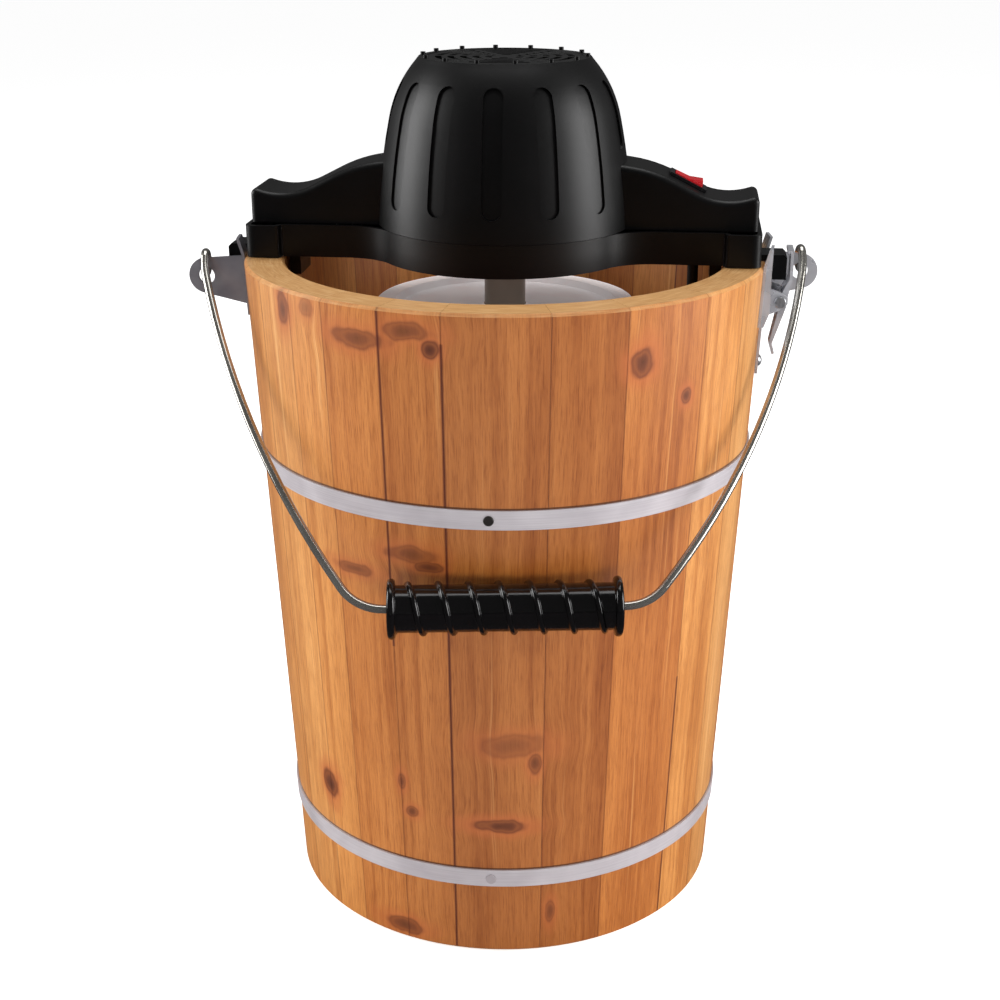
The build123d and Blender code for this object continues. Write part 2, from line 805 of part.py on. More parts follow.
# ---------------------------------------------------------------- canister and lid
with BuildPart() as canister:
    with BuildSketch(Plane.XZ):
        with BuildLine():
            Polyline(
                (0, can_floor_z),
                (pivot_pin_radius + 0.06, can_floor_z),
                (pivot_pin_radius + 0.06, board_top_z + pivot_plate_thickness + 0.5),
                (pivot_pin_radius + 2.5, board_top_z + pivot_plate_thickness + 0.5),
                (pivot_pin_radius + 2.5, can_floor_z),
                (can_radius - 3.0, can_floor_z),
                (can_radius, can_floor_z + 3.0),
                (can_radius, can_top_z - 3.5),
                (can_radius + can_bead, can_top_z - 2.5),
                (can_radius + can_bead, can_top_z),
                (can_radius - can_wall, can_top_z),
                (can_radius - can_wall, can_floor_z + 3.4),
                (can_radius - 3.4, can_floor_z + can_wall),
                (0, can_floor_z + can_wall),
                close=True,
            )
        make_face()
    revolve(axis=Axis.Z)
save(canister, "canister")

lid_bore = stem_bore_radius
with BuildPart() as canister_lid:
    with BuildSketch(Plane.XZ):
        with BuildLine():
            Polyline(
                (lid_radius - lid_wall, lid_skirt_z),
                (lid_radius, lid_skirt_z),
                (lid_radius, lid_rim_z - lid_edge_break),
                (lid_radius - lid_edge_break, lid_rim_z),
                (lid_dish_radius, lid_rim_z),
                (lid_dish_radius - lid_dish_slope, lid_plate_z),
                (lid_hub_radius + 1.5, lid_plate_z),
                (lid_hub_radius, lid_plate_z + 1.5),
                (lid_hub_radius, lid_hub_top_z),
                (lid_bore, lid_hub_top_z),
                (lid_bore, lid_plate_z - lid_wall),
                (lid_dish_radius - lid_dish_slope - 0.8, lid_plate_z - lid_wall),
                (lid_dish_radius - 0.8, can_top_z + fit_gap),
                (lid_radius - lid_wall, can_top_z + fit_gap),
                close=True,
            )
        make_face()
    revolve(axis=Axis.Z)
    with BuildSketch(Plane.XY.offset(lid_hub_top_z)):
        RegularPolygon(lid_drive_flats / 2, 6, major_radius=False)
        Circle(lid_bore, mode=Mode.SUBTRACT)
    extrude(amount=lid_drive_top_z - lid_hub_top_z)
save(canister_lid, "canister_lid")

# ---------------------------------------------------------------- dasher and scrapers
with BuildPart() as dasher:
    with BuildSketch(Plane.XY.offset(can_floor_z + can_wall + fit_gap)):
        Circle(dasher_bar)
    extrude(amount=dasher_high_z - can_floor_z)
    with BuildSketch(Plane.XY.offset(dasher_high_z - 5.0)):
        Rectangle(stem_side, stem_side)
    extrude(amount=stem_top_z - dasher_high_z + 5.0)
    with BuildSketch(Plane.XZ.offset(-dasher_thickness / 2)):
        for bar_z in (dasher_low_z + dasher_bar / 2, dasher_high_z - dasher_bar / 2):
            with Locations((0, bar_z)):
                Rectangle(2 * dasher_half_width, dasher_bar)
        for side in (1, -1):
            with Locations((side * (dasher_half_width - dasher_bar / 2), (dasher_low_z + dasher_high_z) / 2)):
                Rectangle(dasher_bar, dasher_high_z - dasher_low_z)
    extrude(amount=dasher_thickness)
    paddle_span = (dasher_high_z - dasher_low_z) / (paddle_count + 1)
    for paddle in range(paddle_count):
        paddle_z = dasher_low_z + (paddle + 1) * paddle_span
        lean = math.radians(paddle_lean if paddle % 2 == 0 else -paddle_lean)
        paddle_plane = Plane(
            origin=(-dasher_half_width + 2.0, 0, paddle_z),
            x_dir=(0, math.cos(lean), math.sin(lean)),
            z_dir=(1, 0, 0),
        )
        with BuildSketch(paddle_plane):
            Rectangle(paddle_width, paddle_thickness)
        extrude(amount=2 * dasher_half_width - 4.0)
save(dasher, "dasher")

scraper_inner = dasher_half_width + 0.05
scraper_outer = can_radius - can_wall - scraper_gap
with BuildPart() as scraper_blades:
    for side in (1, -1):
        with BuildSketch(Plane.XY.offset(dasher_low_z + 4.0)):
            with BuildLine():
                Polyline(
                    (side * scraper_inner, -6.0),
                    (side * (scraper_inner + 3.0), -6.0),
                    (side * scraper_outer, 3.0),
                    (side * scraper_outer, 5.0),
                    (side * (scraper_inner + 1.0), 5.0),
                    (side * scraper_inner, 2.0),
                    close=True,
                )
            make_face()
        extrude(amount=dasher_high_z - dasher_low_z - 8.0)
save(scraper_blades, "scraper_blades")

# ---------------------------------------------------------------- motor base
centre_distance = gear_module * (pinion_teeth + wheel_teeth) / 2
idler_x = centre_distance * math.cos(math.radians(idler_angle))
idler_y = centre_distance * math.sin(math.radians(idler_angle))
base_plate_hole = output_hub_radius + 0.1


def draw_base_outline(shrink):
    """Draws the plan of the motor base, made smaller all round by shrink."""
    blend_x = math.sqrt(skirt_radius**2 - neck_half_width**2)
    with BuildSketch(Plane.XY) as outline:
        Circle(skirt_radius)
        Rectangle(2 * base_end_x, 2 * neck_half_width)
        with Locations((foot_start_x + foot_length / 2, 0), (-foot_start_x - foot_length / 2, 0)):
            Rectangle(foot_length, 2 * foot_half_width)
        fillet(outline.vertices().filter_by(lambda v: abs(abs(v.X) - blend_x) < 0.5), base_blend_radius)
        fillet(outline.vertices().filter_by(lambda v: abs(abs(v.X) - foot_start_x) < 0.5), 2.0)
        fillet(outline.vertices().filter_by(lambda v: abs(abs(v.X) - base_end_x) < 0.1), 5.0)
        if shrink:
            offset(amount=-shrink)
    return outline.sketch


base_outline = draw_base_outline(0)
base_inside = draw_base_outline(base_wall)
column_angles = [first_column_angle + k * 360.0 / column_count for k in range(column_count)]
column_places = [
    (column_orbit * math.cos(math.radians(a)), column_orbit * math.sin(math.radians(a))) for a in column_angles
]
cover_screw_places = [(sx * cover_screw_x, sy * cover_screw_y) for sx in (1, -1) for sy in (1, -1)]

with BuildPart() as motor_base:
    with BuildSketch(Plane.XY.offset(base_z)):
        add(base_outline)
    extrude(amount=seam_z - base_z)
    with BuildSketch(Plane.XY.offset(base_floor_z)):
        add(base_inside)
    extrude(amount=seam_z, mode=Mode.SUBTRACT)
    # tangs that hook over the rim outside the brackets, and locating lugs inside it
    tang_inner_x = bracket_wall(bucket_height) + bracket_thickness + tang_wall_gap
    for side in (1, -1):
        with BuildSketch(Plane.XZ.offset(-tang_half_width)):
            with BuildLine():
                Polyline(
                    (side * (base_end_x - base_wall), base_z),
                    (side * tang_inner_x, base_z),
                    (side * tang_inner_x, tang_low_z),
                    (side * tang_end_x, tang_low_z),
                    (side * tang_end_x, tang_top_z - tang_chamfer),
                    (side * (tang_end_x - tang_chamfer), tang_top_z),
                    (side * (base_end_x - base_wall), tang_top_z),
                    close=True,
                )
            make_face()
        extrude(amount=2 * tang_half_width)
        with BuildSketch(Plane.XY.offset(base_z - lug_depth)):
            with Locations((side * (lug_outer_x - 3.0), 0)):
                Rectangle(6.0, 24.0)
        extrude(amount=lug_depth + 1.0)
    with BuildSketch(Plane.XY.offset(guide_leg_low_z)):
        with Locations((guide_leg_x, 0)):
            Circle(guide_leg_radius)
    extrude(amount=base_z + 1.0 - guide_leg_low_z)
    # columns for the gear plate and the boss of the lay gear's pin
    with BuildSketch(Plane.XY.offset(base_z + 1.0)):
        with Locations(*column_places):
            Circle(column_radius)
    extrude(amount=plate_z - base_z - 1.0)
    with BuildSketch(Plane.XY.offset(base_z + 1.0)):
        with Locations((idler_x, idler_y)):
            Circle(6.0)
    extrude(amount=5.2)
    with BuildSketch(Plane.XY.offset(base_z + 1.0)):
        with Locations((idler_x, idler_y)):
            Circle(idler_pin_radius + 0.02)
    extrude(amount=10.0, mode=Mode.SUBTRACT)
    with BuildSketch(Plane.XY.offset(base_z - 1.0)):
        Circle(base_plate_hole)
    extrude(amount=base_floor + 2.0, mode=Mode.SUBTRACT)
    with BuildSketch(Plane.XY.offset(base_z - 1.0)):
        with Locations(*cover_screw_places):
            Circle(cover_screw_radius + hole_clearance)
    extrude(amount=base_floor + 2.0, mode=Mode.SUBTRACT)
    with BuildSketch(Plane.XY.offset(base_z)):
        with Locations(*cover_screw_places):
            Circle(cover_screw_head + 0.2)
    extrude(amount=1.7, mode=Mode.SUBTRACT)
    with BuildSketch(Plane.XZ.offset(-neck_half_width - 2.0)):
        with Locations((gland_x, gland_z)):
            Circle(gland_radius - 1.0 + hole_clearance)
    extrude(amount=base_wall + 4.0, mode=Mode.SUBTRACT)
save(motor_base, "motor_base")

# ---------------------------------------------------------------- motor cover
cover_z = seam_z + cover_gap


def dome_arcs(inset):
    """Foot, lower arc and upper arc of the dome's outline, moved in by inset."""
    foot = (dome_foot_radius - inset, cover_z)
    shoulder = (dome_shoulder_radius - inset, dome_shoulder_z)
    edge = (dome_edge_radius - inset, dome_edge_z - inset * 0.7)
    lower_mid = ((foot[0] + shoulder[0]) / 2 + 1.1, (foot[1] + shoulder[1]) / 2)
    upper_mid = ((shoulder[0] + edge[0]) / 2 + 1.9, (shoulder[1] + edge[1]) / 2 + 1.0)
    return foot, lower_mid, shoulder, upper_mid, edge


def draw_dome(inset, ceiling_z, flat_radius):
    """Draws half of the dome's section for revolving, moved in by inset and flat at the ceiling."""
    foot, lower_mid, shoulder, upper_mid, edge = dome_arcs(inset)
    with BuildLine() as outline:
        Line((0, cover_z), foot)
        ThreePointArc(foot, lower_mid, shoulder)
        ThreePointArc(shoulder, upper_mid, edge)
        Polyline(edge, (flat_radius, ceiling_z), (0, ceiling_z), (0, cover_z))
    make_face(outline.edges())


slope_turn = math.radians(arm_slope)
crest_turn = math.radians(arm_crest_slope)
slope_start = (
    arm_dip_x - arm_dip_radius * math.sin(slope_turn),
    arm_dip_z + arm_dip_radius * (1 - math.cos(slope_turn)),
)
slope_end = (
    slope_start[0] - arm_slope_length * math.cos(slope_turn),
    slope_start[1] + arm_slope_length * math.sin(slope_turn),
)
crest_end = (
    slope_end[0] - arm_crest_radius * (math.sin(slope_turn) - math.sin(crest_turn)),
    slope_end[1] + arm_crest_radius * (math.cos(crest_turn) - math.cos(slope_turn)),
)
lip_drop = math.sqrt(arm_dip_radius**2 - (arm_end_x - arm_dip_x) ** 2)
arm_lip = (arm_end_x, arm_dip_z + arm_dip_radius - lip_drop)
arm_root_x = 44.0
arm_root_top_z = crest_end[1] + (crest_end[0] - arm_root_x) * math.tan(crest_turn)


def draw_arm_profile(side, inset, floor_z):
    """Draws one arm's side view, moved in by inset at its top and end."""
    lip = (side * (arm_lip[0] - inset), arm_lip[1] - inset)
    dip = (side * arm_dip_x, arm_dip_z - inset)
    low = (side * slope_start[0], slope_start[1] - inset)
    high = (side * slope_end[0], slope_end[1] - inset)
    crest_mid_turn = (slope_turn + crest_turn) / 2
    crest_mid = (
        side * (slope_end[0] - arm_crest_radius * (math.sin(slope_turn) - math.sin(crest_mid_turn))),
        slope_end[1] + arm_crest_radius * (math.cos(crest_mid_turn) - math.cos(slope_turn)) - inset,
    )
    crest = (side * crest_end[0], crest_end[1] - inset)
    root = (side * arm_root_x, arm_root_top_z - inset)
    with BuildLine() as outline:
        ThreePointArc(lip, dip, low)
        Line(low, high)
        ThreePointArc(high, crest_mid, crest)
        Polyline(
            crest,
            root,
            (side * arm_root_x, floor_z),
            (side * (arm_end_x - inset), floor_z),
            lip,
        )
    make_face(outline.edges())


with BuildPart() as arm_blanks:
    for side in (1, -1):
        with BuildSketch(Plane.XZ):
            draw_arm_profile(side, 0.0, cover_z)
        extrude(amount=arm_half_width, both=True)
    round_edges = arm_blanks.edges().filter_by(lambda e: e.center().Z > cover_z + 1.0)
    round_edges = round_edges.filter_by(lambda e: abs(e.center().X) > arm_root_x + 1.0)
    fillet(round_edges, arm_edge_round)

with BuildPart() as flute_band:
    with BuildSketch(Plane.XZ):
        draw_dome(-8.0, dome_top_z + 8.0, dome_edge_radius)
    revolve(axis=Axis.Z)
    with BuildSketch(Plane.XZ):
        draw_dome(flute_depth, dome_top_z - flute_depth, dome_edge_radius - flute_depth - 2.0)
    revolve(axis=Axis.Z, mode=Mode.SUBTRACT)

with BuildPart() as flute_cutters:
    for flute in range(flute_count):
        flute_angle = -90.0 + flute * 360.0 / flute_count
        aside = dome_foot_radius * abs(math.sin(math.radians(flute_angle)))
        over_arm = aside < arm_half_width + flute_width / 2
        low_z = flute_short_low_z if over_arm else flute_low_z
        flute_middle_z = (low_z + flute_high_z) / 2
        with BuildSketch(outward_plane(flute_angle, 40.0, flute_middle_z)):
            SlotOverall(flute_high_z - low_z, flute_width, rotation=90)
        extrude(amount=40.0)
    add(flute_band.part, mode=Mode.INTERSECT)

switch_plane = Plane(
    origin=((slope_start[0] + slope_end[0]) / 2, 0, (slope_start[1] + slope_end[1]) / 2),
    x_dir=(math.cos(slope_turn), 0, -math.sin(slope_turn)),
    z_dir=(math.sin(slope_turn), 0, math.cos(slope_turn)),
)
grille_low_z = dome_top_z - grille_thickness
with BuildPart() as motor_cover:
    with BuildSketch(Plane.XZ):
        draw_dome(0.0, dome_top_z, dome_edge_radius - 1.6)
    revolve(axis=Axis.Z)
    add(arm_blanks.part)
    with BuildSketch(Plane.XZ):
        draw_dome(cover_wall, grille_low_z - 2.2, dome_edge_radius - cover_wall - 2.0)
    revolve(axis=Axis.Z, mode=Mode.SUBTRACT)
    for side in (1, -1):
        with BuildSketch(Plane.XZ):
            draw_arm_profile(side, cover_wall, cover_z - 1.0)
        extrude(amount=arm_half_width - cover_wall, both=True, mode=Mode.SUBTRACT)
    add(flute_cutters.part, mode=Mode.SUBTRACT)
    # grille seat and air opening
    with BuildSketch(Plane.XY.offset(grille_low_z - fit_gap)):
        Circle(grille_radius + 0.1)
    extrude(amount=20.0, mode=Mode.SUBTRACT)
    with BuildSketch(Plane.XY.offset(grille_low_z - 20.0)):
        Circle(grille_radius - grille_ledge)
    extrude(amount=40.0, mode=Mode.SUBTRACT)
    nub_orbit = (grille_radius + dome_edge_radius - 1.6) / 2
    with BuildSketch(Plane.XY.offset(dome_top_z - 0.5)):
        with PolarLocations(nub_orbit, nub_count):
            Circle(nub_radius)
    extrude(amount=nub_height + 0.5)
    # screw bosses
    with BuildSketch(Plane.XY.offset(base_floor_z + 0.2)):
        with Locations(*cover_screw_places):
            Circle(cover_boss_radius)
    extrude(amount=cover_boss_top_z - base_floor_z - 0.2)
    with BuildSketch(Plane.XY.offset(base_floor_z)):
        with Locations(*cover_screw_places):
            Circle(cover_screw_radius + hole_clearance)
    extrude(amount=18.0, mode=Mode.SUBTRACT)
    # switch opening, with its seat cut flat
    with BuildSketch(switch_plane):
        Rectangle(bezel_length + 0.4, bezel_width + 0.4)
    extrude(amount=6.0, mode=Mode.SUBTRACT)
    with BuildSketch(switch_plane.offset(-8.0)):
        Rectangle(switch_body_length + 0.2, switch_body_width + 0.2)
    extrude(amount=12.0, mode=Mode.SUBTRACT)
save(motor_cover, "motor_cover")

with BuildPart() as top_grille:
    with BuildSketch(Plane.XY.offset(grille_low_z)):
        Circle(grille_radius)
        for ring in reversed(range(grille_ring_count)):
            slot_inner = grille_first_radius + ring * grille_ring_pitch
            Circle(slot_inner + grille_slot_width, mode=Mode.SUBTRACT)
            Circle(slot_inner)
        with PolarLocations(0, grille_spoke_count):
            with Locations((grille_radius / 2, 0)):
                Rectangle(grille_radius - 2.0, grille_spoke_width)
    extrude(amount=grille_thickness - 0.3)
save(top_grille, "top_grille")

with BuildPart() as cover_screws:
    with BuildSketch(Plane.XY.offset(base_z + 0.2)):
        with Locations(*cover_screw_places):
            Circle(cover_screw_head)
    extrude(amount=1.3)
    with BuildSketch(Plane.XY.offset(base_z + 1.0)):
        with Locations(*cover_screw_places):
            Circle(cover_screw_radius)
    extrude(amount=18.0)
save(cover_screws, "cover_screws")

# ---------------------------------------------------------------- switch
rocker_plane = switch_plane.offset(1.0)
with BuildPart() as switch_body:
    with BuildSketch(switch_plane.offset(0.05)):
        Rectangle(bezel_length, bezel_width)
    extrude(amount=bezel_height)
    with BuildSketch(switch_plane.offset(0.1)):
        Rectangle(switch_body_length, switch_body_width)
    extrude(amount=-switch_body_depth)
    chamfer(switch_body.faces().sort_by(Axis.Z)[-1].edges(), 0.6)
    rocker_side_plane = Plane(origin=rocker_plane.origin, x_dir=rocker_plane.x_dir, z_dir=(0, -1, 0))
    with BuildSketch(rocker_side_plane):
        Circle(rocker_radius + rocker_gap)
        with Locations((0, 6.0)):
            Rectangle(2 * (rocker_radius + rocker_gap), 12.0)
    extrude(amount=rocker_width / 2 + rocker_gap, both=True, mode=Mode.SUBTRACT)
    with BuildSketch(rocker_side_plane):
        Circle(trunnion_radius + 0.06)
    extrude(amount=rocker_width / 2 + rocker_gap + trunnion_length, both=True, mode=Mode.SUBTRACT)
save(switch_body, "switch_body")

with BuildPart() as switch_rocker:
    with BuildSketch(rocker_side_plane):
        Circle(rocker_radius)
        with BuildLine():
            Polyline(
                (-rocker_radius - 1.0, -rocker_radius - 1.0),
                (rocker_radius + 1.0, -rocker_radius - 1.0),
                (rocker_radius + 1.0, 4.6),
                (0.0, 1.6),
                (-rocker_radius - 1.0, 1.2),
                close=True,
            )
        make_face(mode=Mode.INTERSECT)
    extrude(amount=rocker_width / 2, both=True)
    with BuildSketch(rocker_side_plane):
        Circle(trunnion_radius)
    extrude(amount=rocker_width / 2 + rocker_gap + trunnion_length - 0.2, both=True)
save(switch_rocker, "switch_rocker")

# ---------------------------------------------------------------- cord gland at the back
gland_plane = Plane(origin=(gland_x, neck_half_width, gland_z), x_dir=(1, 0, 0), z_dir=(0, 1, 0))
with BuildPart() as cord_gland:
    with BuildSketch(gland_plane.offset(-base_wall - 1.0)):
        Circle(gland_radius - 1.0)
    extrude(amount=base_wall + 1.0 + 2.0)
    with BuildSketch(gland_plane.offset(0.05)):
        Circle(gland_radius + 1.2)
    extrude(amount=2.0)
    with BuildSketch(gland_plane.offset(1.5)):
        Circle(gland_radius)
    with BuildSketch(gland_plane.offset(gland_length)):
        Circle(gland_radius - 1.2)
    loft()
    with BuildSketch(gland_plane.offset(gland_length)):
        Circle(gland_radius - 2.2)
    extrude(amount=-gland_length + 3.0, mode=Mode.SUBTRACT)
save(cord_gland, "cord_gland")

# ---------------------------------------------------------------- gear plate and gear train
post_angles = [first_post_angle + k * 360.0 / post_count for k in range(post_count)]
post_places = [
    (post_orbit * math.cos(math.radians(a)), post_orbit * math.sin(math.radians(a))) for a in post_angles
]
with BuildPart() as gear_plate:
    with BuildSketch(Plane.XY.offset(plate_z)):
        Circle(plate_radius)
        with Locations((idler_x, idler_y)):
            Circle(idler_hub_radius + 0.1, mode=Mode.SUBTRACT)
    extrude(amount=plate_thickness)
    with BuildSketch(Plane.XY.offset(plate_top_z - 1.0)):
        Circle(bush_radius + 2.5)
    extrude(amount=3.0)
    with BuildSketch(Plane.XY.offset(plate_z)):
        Circle(bush_radius + 0.02)
    extrude(amount=10.0, mode=Mode.SUBTRACT)
    with BuildSketch(Plane.XY.offset(plate_top_z - 1.0)):
        with Locations(*post_places):
            Circle(post_radius)
    extrude(amount=stator_low_z - plate_top_z + 1.0)
save(gear_plate, "gear_plate")

socket_low_z = output_gear_z + output_gear_width + 1.8
with BuildPart() as stem_socket:
    with BuildSketch(Plane.XY.offset(socket_low_z)):
        Circle(11.0)
    extrude(amount=plate_z - socket_low_z)
    with BuildSketch(Plane.XY.offset(socket_low_z)):
        Rectangle(stem_side + 0.3, stem_side + 0.3)
    extrude(amount=stem_top_z + 0.3 - socket_low_z, mode=Mode.SUBTRACT)
save(stem_socket, "stem_socket")

# The output gear has a tooth towards the lay gear, which has a gap there.
idler_turn = math.radians(idler_angle)
with BuildPart() as output_gear:
    with BuildSketch(Plane.XY.offset(output_gear_z)):
        draw_gear(output_teeth, idler_turn)
    extrude(amount=output_gear_width)
    with BuildSketch(Plane.XY.offset(base_z + 0.6)):
        Circle(output_hub_radius)
    extrude(amount=output_gear_z - base_z)
    with BuildSketch(Plane.XY.offset(base_floor_z + 0.3)):
        Circle(output_hub_radius + 4.0)
    extrude(amount=output_gear_z - base_floor_z)
    with BuildSketch(Plane.XY.offset(base_z)):
        RegularPolygon((lid_drive_flats + 0.3) / 2, 6, major_radius=False)
    extrude(amount=40.0, mode=Mode.SUBTRACT)
save(output_gear, "output_gear")

lay_turn = idler_turn + math.pi + math.pi / lay_pinion_teeth
wheel_turn = idler_turn + math.pi + math.pi / wheel_teeth
with BuildPart() as idler_gear:
    with BuildSketch(Plane(origin=(idler_x, idler_y, output_gear_z - 0.5))):
        draw_gear(lay_pinion_teeth, lay_turn)
    extrude(amount=output_gear_width + 1.5)
    hub_low_z = output_gear_z + output_gear_width + 0.8
    with BuildSketch(Plane(origin=(idler_x, idler_y, hub_low_z))):
        Circle(idler_hub_radius)
    extrude(amount=wheel_z - hub_low_z)
    with BuildSketch(Plane(origin=(idler_x, idler_y, wheel_z))):
        draw_gear(wheel_teeth, wheel_turn)
    extrude(amount=wheel_width)
    with BuildSketch(Plane(origin=(idler_x, idler_y, base_z))):
        Circle(idler_pin_radius + pin_clearance)
    extrude(amount=60.0, mode=Mode.SUBTRACT)
save(idler_gear, "idler_gear")

with BuildPart() as idler_pin:
    with BuildSketch(Plane(origin=(idler_x, idler_y, base_z + 1.2))):
        Circle(idler_pin_radius)
    extrude(amount=wheel_z + wheel_width + 1.0 - base_z)
save(idler_pin, "idler_pin")

# ---------------------------------------------------------------- motor
pinion_low_z = wheel_z - 0.8
with BuildPart() as rotor_shaft:
    with BuildSketch(Plane.XY.offset(plate_z + 0.6)):
        Circle(journal_radius)
    extrude(amount=pinion_low_z - plate_z)
    with BuildSketch(Plane.XY.offset(pinion_low_z)):
        draw_gear(pinion_teeth, idler_turn)
    extrude(amount=wheel_width + 1.6)
    with BuildSketch(Plane.XY.offset(pinion_low_z + wheel_width + 1.6)):
        Circle(shaft_radius)
    extrude(amount=bridge_z - 1.0 - pinion_low_z - wheel_width - 1.6)
    with BuildSketch(Plane.XY.offset(bridge_z - 1.5)):
        Circle(journal_radius)
    extrude(amount=fan_z + fan_height + 1.0 - bridge_z + 1.5)
    with BuildSketch(Plane.XY.offset(stator_low_z)):
        Circle(rotor_radius)
    extrude(amount=stator_height)
save(rotor_shaft, "rotor_shaft")

with BuildPart() as stator_core:
    with BuildSketch(Plane.XY.offset(stator_low_z)):
        Circle(stator_radius)
        with Locations(*post_places):
            Circle(post_radius + 2.0)
        Circle(stator_radius - stator_ring, mode=Mode.SUBTRACT)
        with PolarLocations(0, 4):
            with Locations(((stator_radius + rotor_radius) / 2 - 2.0, 0)):
                Rectangle(stator_radius - rotor_radius - 4.0 + 4.0, pole_width)
        Circle(rotor_radius + rotor_gap, mode=Mode.SUBTRACT)
    extrude(amount=stator_height)
save(stator_core, "stator_core")

stator_middle_z = stator_low_z + stator_height / 2
with BuildPart() as stator_coils:
    for pole in range(4):
        with BuildSketch(outward_plane(pole * 90.0, coil_inner, stator_middle_z)):
            RectangleRounded(pole_width + 2 * coil_side, stator_height + 2 * coil_side, 3.0)
            Rectangle(pole_width + 0.3, stator_height + 0.3, mode=Mode.SUBTRACT)
        extrude(amount=coil_outer - coil_inner)
save(stator_coils, "stator_coils")

with BuildPart() as bearing_bridge:
    with BuildSketch(Plane.XY.offset(bridge_z)):
        SlotOverall(2 * (post_orbit + 5.0), 12.0, rotation=45)
        Circle(bush_radius + 4.0)
        Circle(bush_radius + 0.02, mode=Mode.SUBTRACT)
    extrude(amount=bridge_thickness)
    with BuildSketch(Plane.XY.offset(stator_low_z + stator_height)):
        with Locations(post_places[0], post_places[2]):
            Circle(post_radius)
    extrude(amount=bridge_z - stator_low_z - stator_height)
save(bearing_bridge, "bearing_bridge")

with BuildPart() as shaft_bearings:
    for bush_low_z, bush_length in ((plate_z + 0.1, 5.0), (bridge_z, bridge_thickness + 1.0)):
        with BuildSketch(Plane.XY.offset(bush_low_z)):
            Circle(bush_radius)
            Circle(journal_radius + journal_clearance, mode=Mode.SUBTRACT)
        extrude(amount=bush_length)
save(shaft_bearings, "shaft_bearings")

with BuildPart() as cooling_fan:
    with BuildSketch(Plane.XY.offset(fan_z)):
        Circle(fan_radius)
    extrude(amount=1.2)
    with BuildSketch(Plane.XY.offset(fan_z)):
        Circle(8.0)
    extrude(amount=fan_height)
    with BuildSketch(Plane.XY.offset(fan_z + 1.0)):
        with PolarLocations(0, fan_blade_count):
            with Locations((fan_radius / 2 + 3.0, 0)):
                Rectangle(fan_radius - 8.0, 1.5, rotation=20)
    extrude(amount=fan_height - 1.0)
    with BuildSketch(Plane.XY.offset(fan_z - 1.0)):
        Circle(journal_radius + 0.02)
    extrude(amount=fan_height + 2.0, mode=Mode.SUBTRACT)
save(cooling_fan, "cooling_fan")

print(f"hinge height {hinge_z:.2f}, bail lean {math.degrees(bail_angle):.2f}, reach {bail_reach:.2f}")
print(f"eye radius {eye_radius:.2f}, straight part {right_end:.2f} right and {left_end:.2f} left")
print(f"grip centre {grip_centre.X:.2f} {grip_centre.Y:.2f} {grip_centre.Z:.2f}")
print(f"switch centre {switch_plane.origin.X:.2f} {switch_plane.origin.Z:.2f}, lay gear at {idler_y:.2f}")
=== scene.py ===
import json
import math

import bpy
import numpy as np
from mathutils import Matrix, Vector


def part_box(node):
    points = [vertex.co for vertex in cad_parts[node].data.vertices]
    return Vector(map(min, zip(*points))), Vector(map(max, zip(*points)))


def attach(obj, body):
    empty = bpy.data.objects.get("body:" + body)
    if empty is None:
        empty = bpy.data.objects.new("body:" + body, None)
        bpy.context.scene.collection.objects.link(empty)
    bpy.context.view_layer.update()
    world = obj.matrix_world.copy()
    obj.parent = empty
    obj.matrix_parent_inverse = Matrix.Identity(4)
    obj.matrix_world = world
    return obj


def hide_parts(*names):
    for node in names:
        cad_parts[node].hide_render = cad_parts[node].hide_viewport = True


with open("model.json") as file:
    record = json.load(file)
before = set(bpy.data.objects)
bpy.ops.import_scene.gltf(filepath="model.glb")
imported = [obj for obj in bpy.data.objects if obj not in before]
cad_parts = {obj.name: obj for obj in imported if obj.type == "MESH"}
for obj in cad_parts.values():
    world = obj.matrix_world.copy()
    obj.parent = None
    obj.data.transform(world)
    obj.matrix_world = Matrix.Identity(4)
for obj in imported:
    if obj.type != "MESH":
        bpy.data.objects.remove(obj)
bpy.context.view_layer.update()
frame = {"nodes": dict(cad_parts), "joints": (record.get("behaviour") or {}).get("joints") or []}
nodes = frame["nodes"]
MM = 0.001

# ---------------------------------------------------------------- sizes the looks are worked out from, in mm
rim_radius = 138.0
foot_radius = 120.0
mean_radius = (rim_radius + foot_radius) / 2
# Widths of the staves in degrees from the first seam on, and their tones from 0 for dark to 1 for pale.
# The tones are partly the staves' own colour and partly painted light: darker on the staves at the front and
# paler on those towards the sides.
first_seam_angle = -96.5
stave_widths = (21.5, 16.0, 20.3, 14.7, 14.0, 18.0, 16.0, 14.0, 17.0, 15.0, 14.0, 17.0)
stave_widths += (16.0, 13.0, 15.0, 13.5, 13.5, 16.0, 12.0, 13.0, 13.0, 10.3, 13.9, 13.3)
stave_tones_and_light = (0.27, 0.18, 0.46, 0.84, 1.0, 0.8, 0.55, 0.35, 0.7, 0.45, 0.85, 0.3)
stave_tones_and_light += (0.6, 0.75, 0.4, 0.65, 0.5, 0.8, 0.7, 0.82, 0.88, 0.78, 0.55, 0.4)
stave_count = len(stave_widths)
# Seams that stand open and dark, each with the heights it runs between.
open_seams = {0: (0.0, 342.0), 3: (0.0, 150.0), 8: (0.0, 357.0)}
open_seams |= {13: (120.0, 357.0), 18: (0.0, 240.0), 23: (180.0, 357.0)}
seam_half_width = 0.45
# Height in mm of the painted shade line above each hoop.
hoop_shade_line_height = 1.0
nails_split_z = 150.0
lid_hub_radius = 11.0
lid_plate_z = 328.5

# ---------------------------------------------------------------- camera, from the photograph's perspective
camera_distance = 879.0
camera_height = 541.0
camera_azimuth = 6.0
camera_pitch = 20.3
focal_pixels = 1662.5
axis_pixel_x = 505.0
image_pixels = 1000.0
sensor_width = 36.0

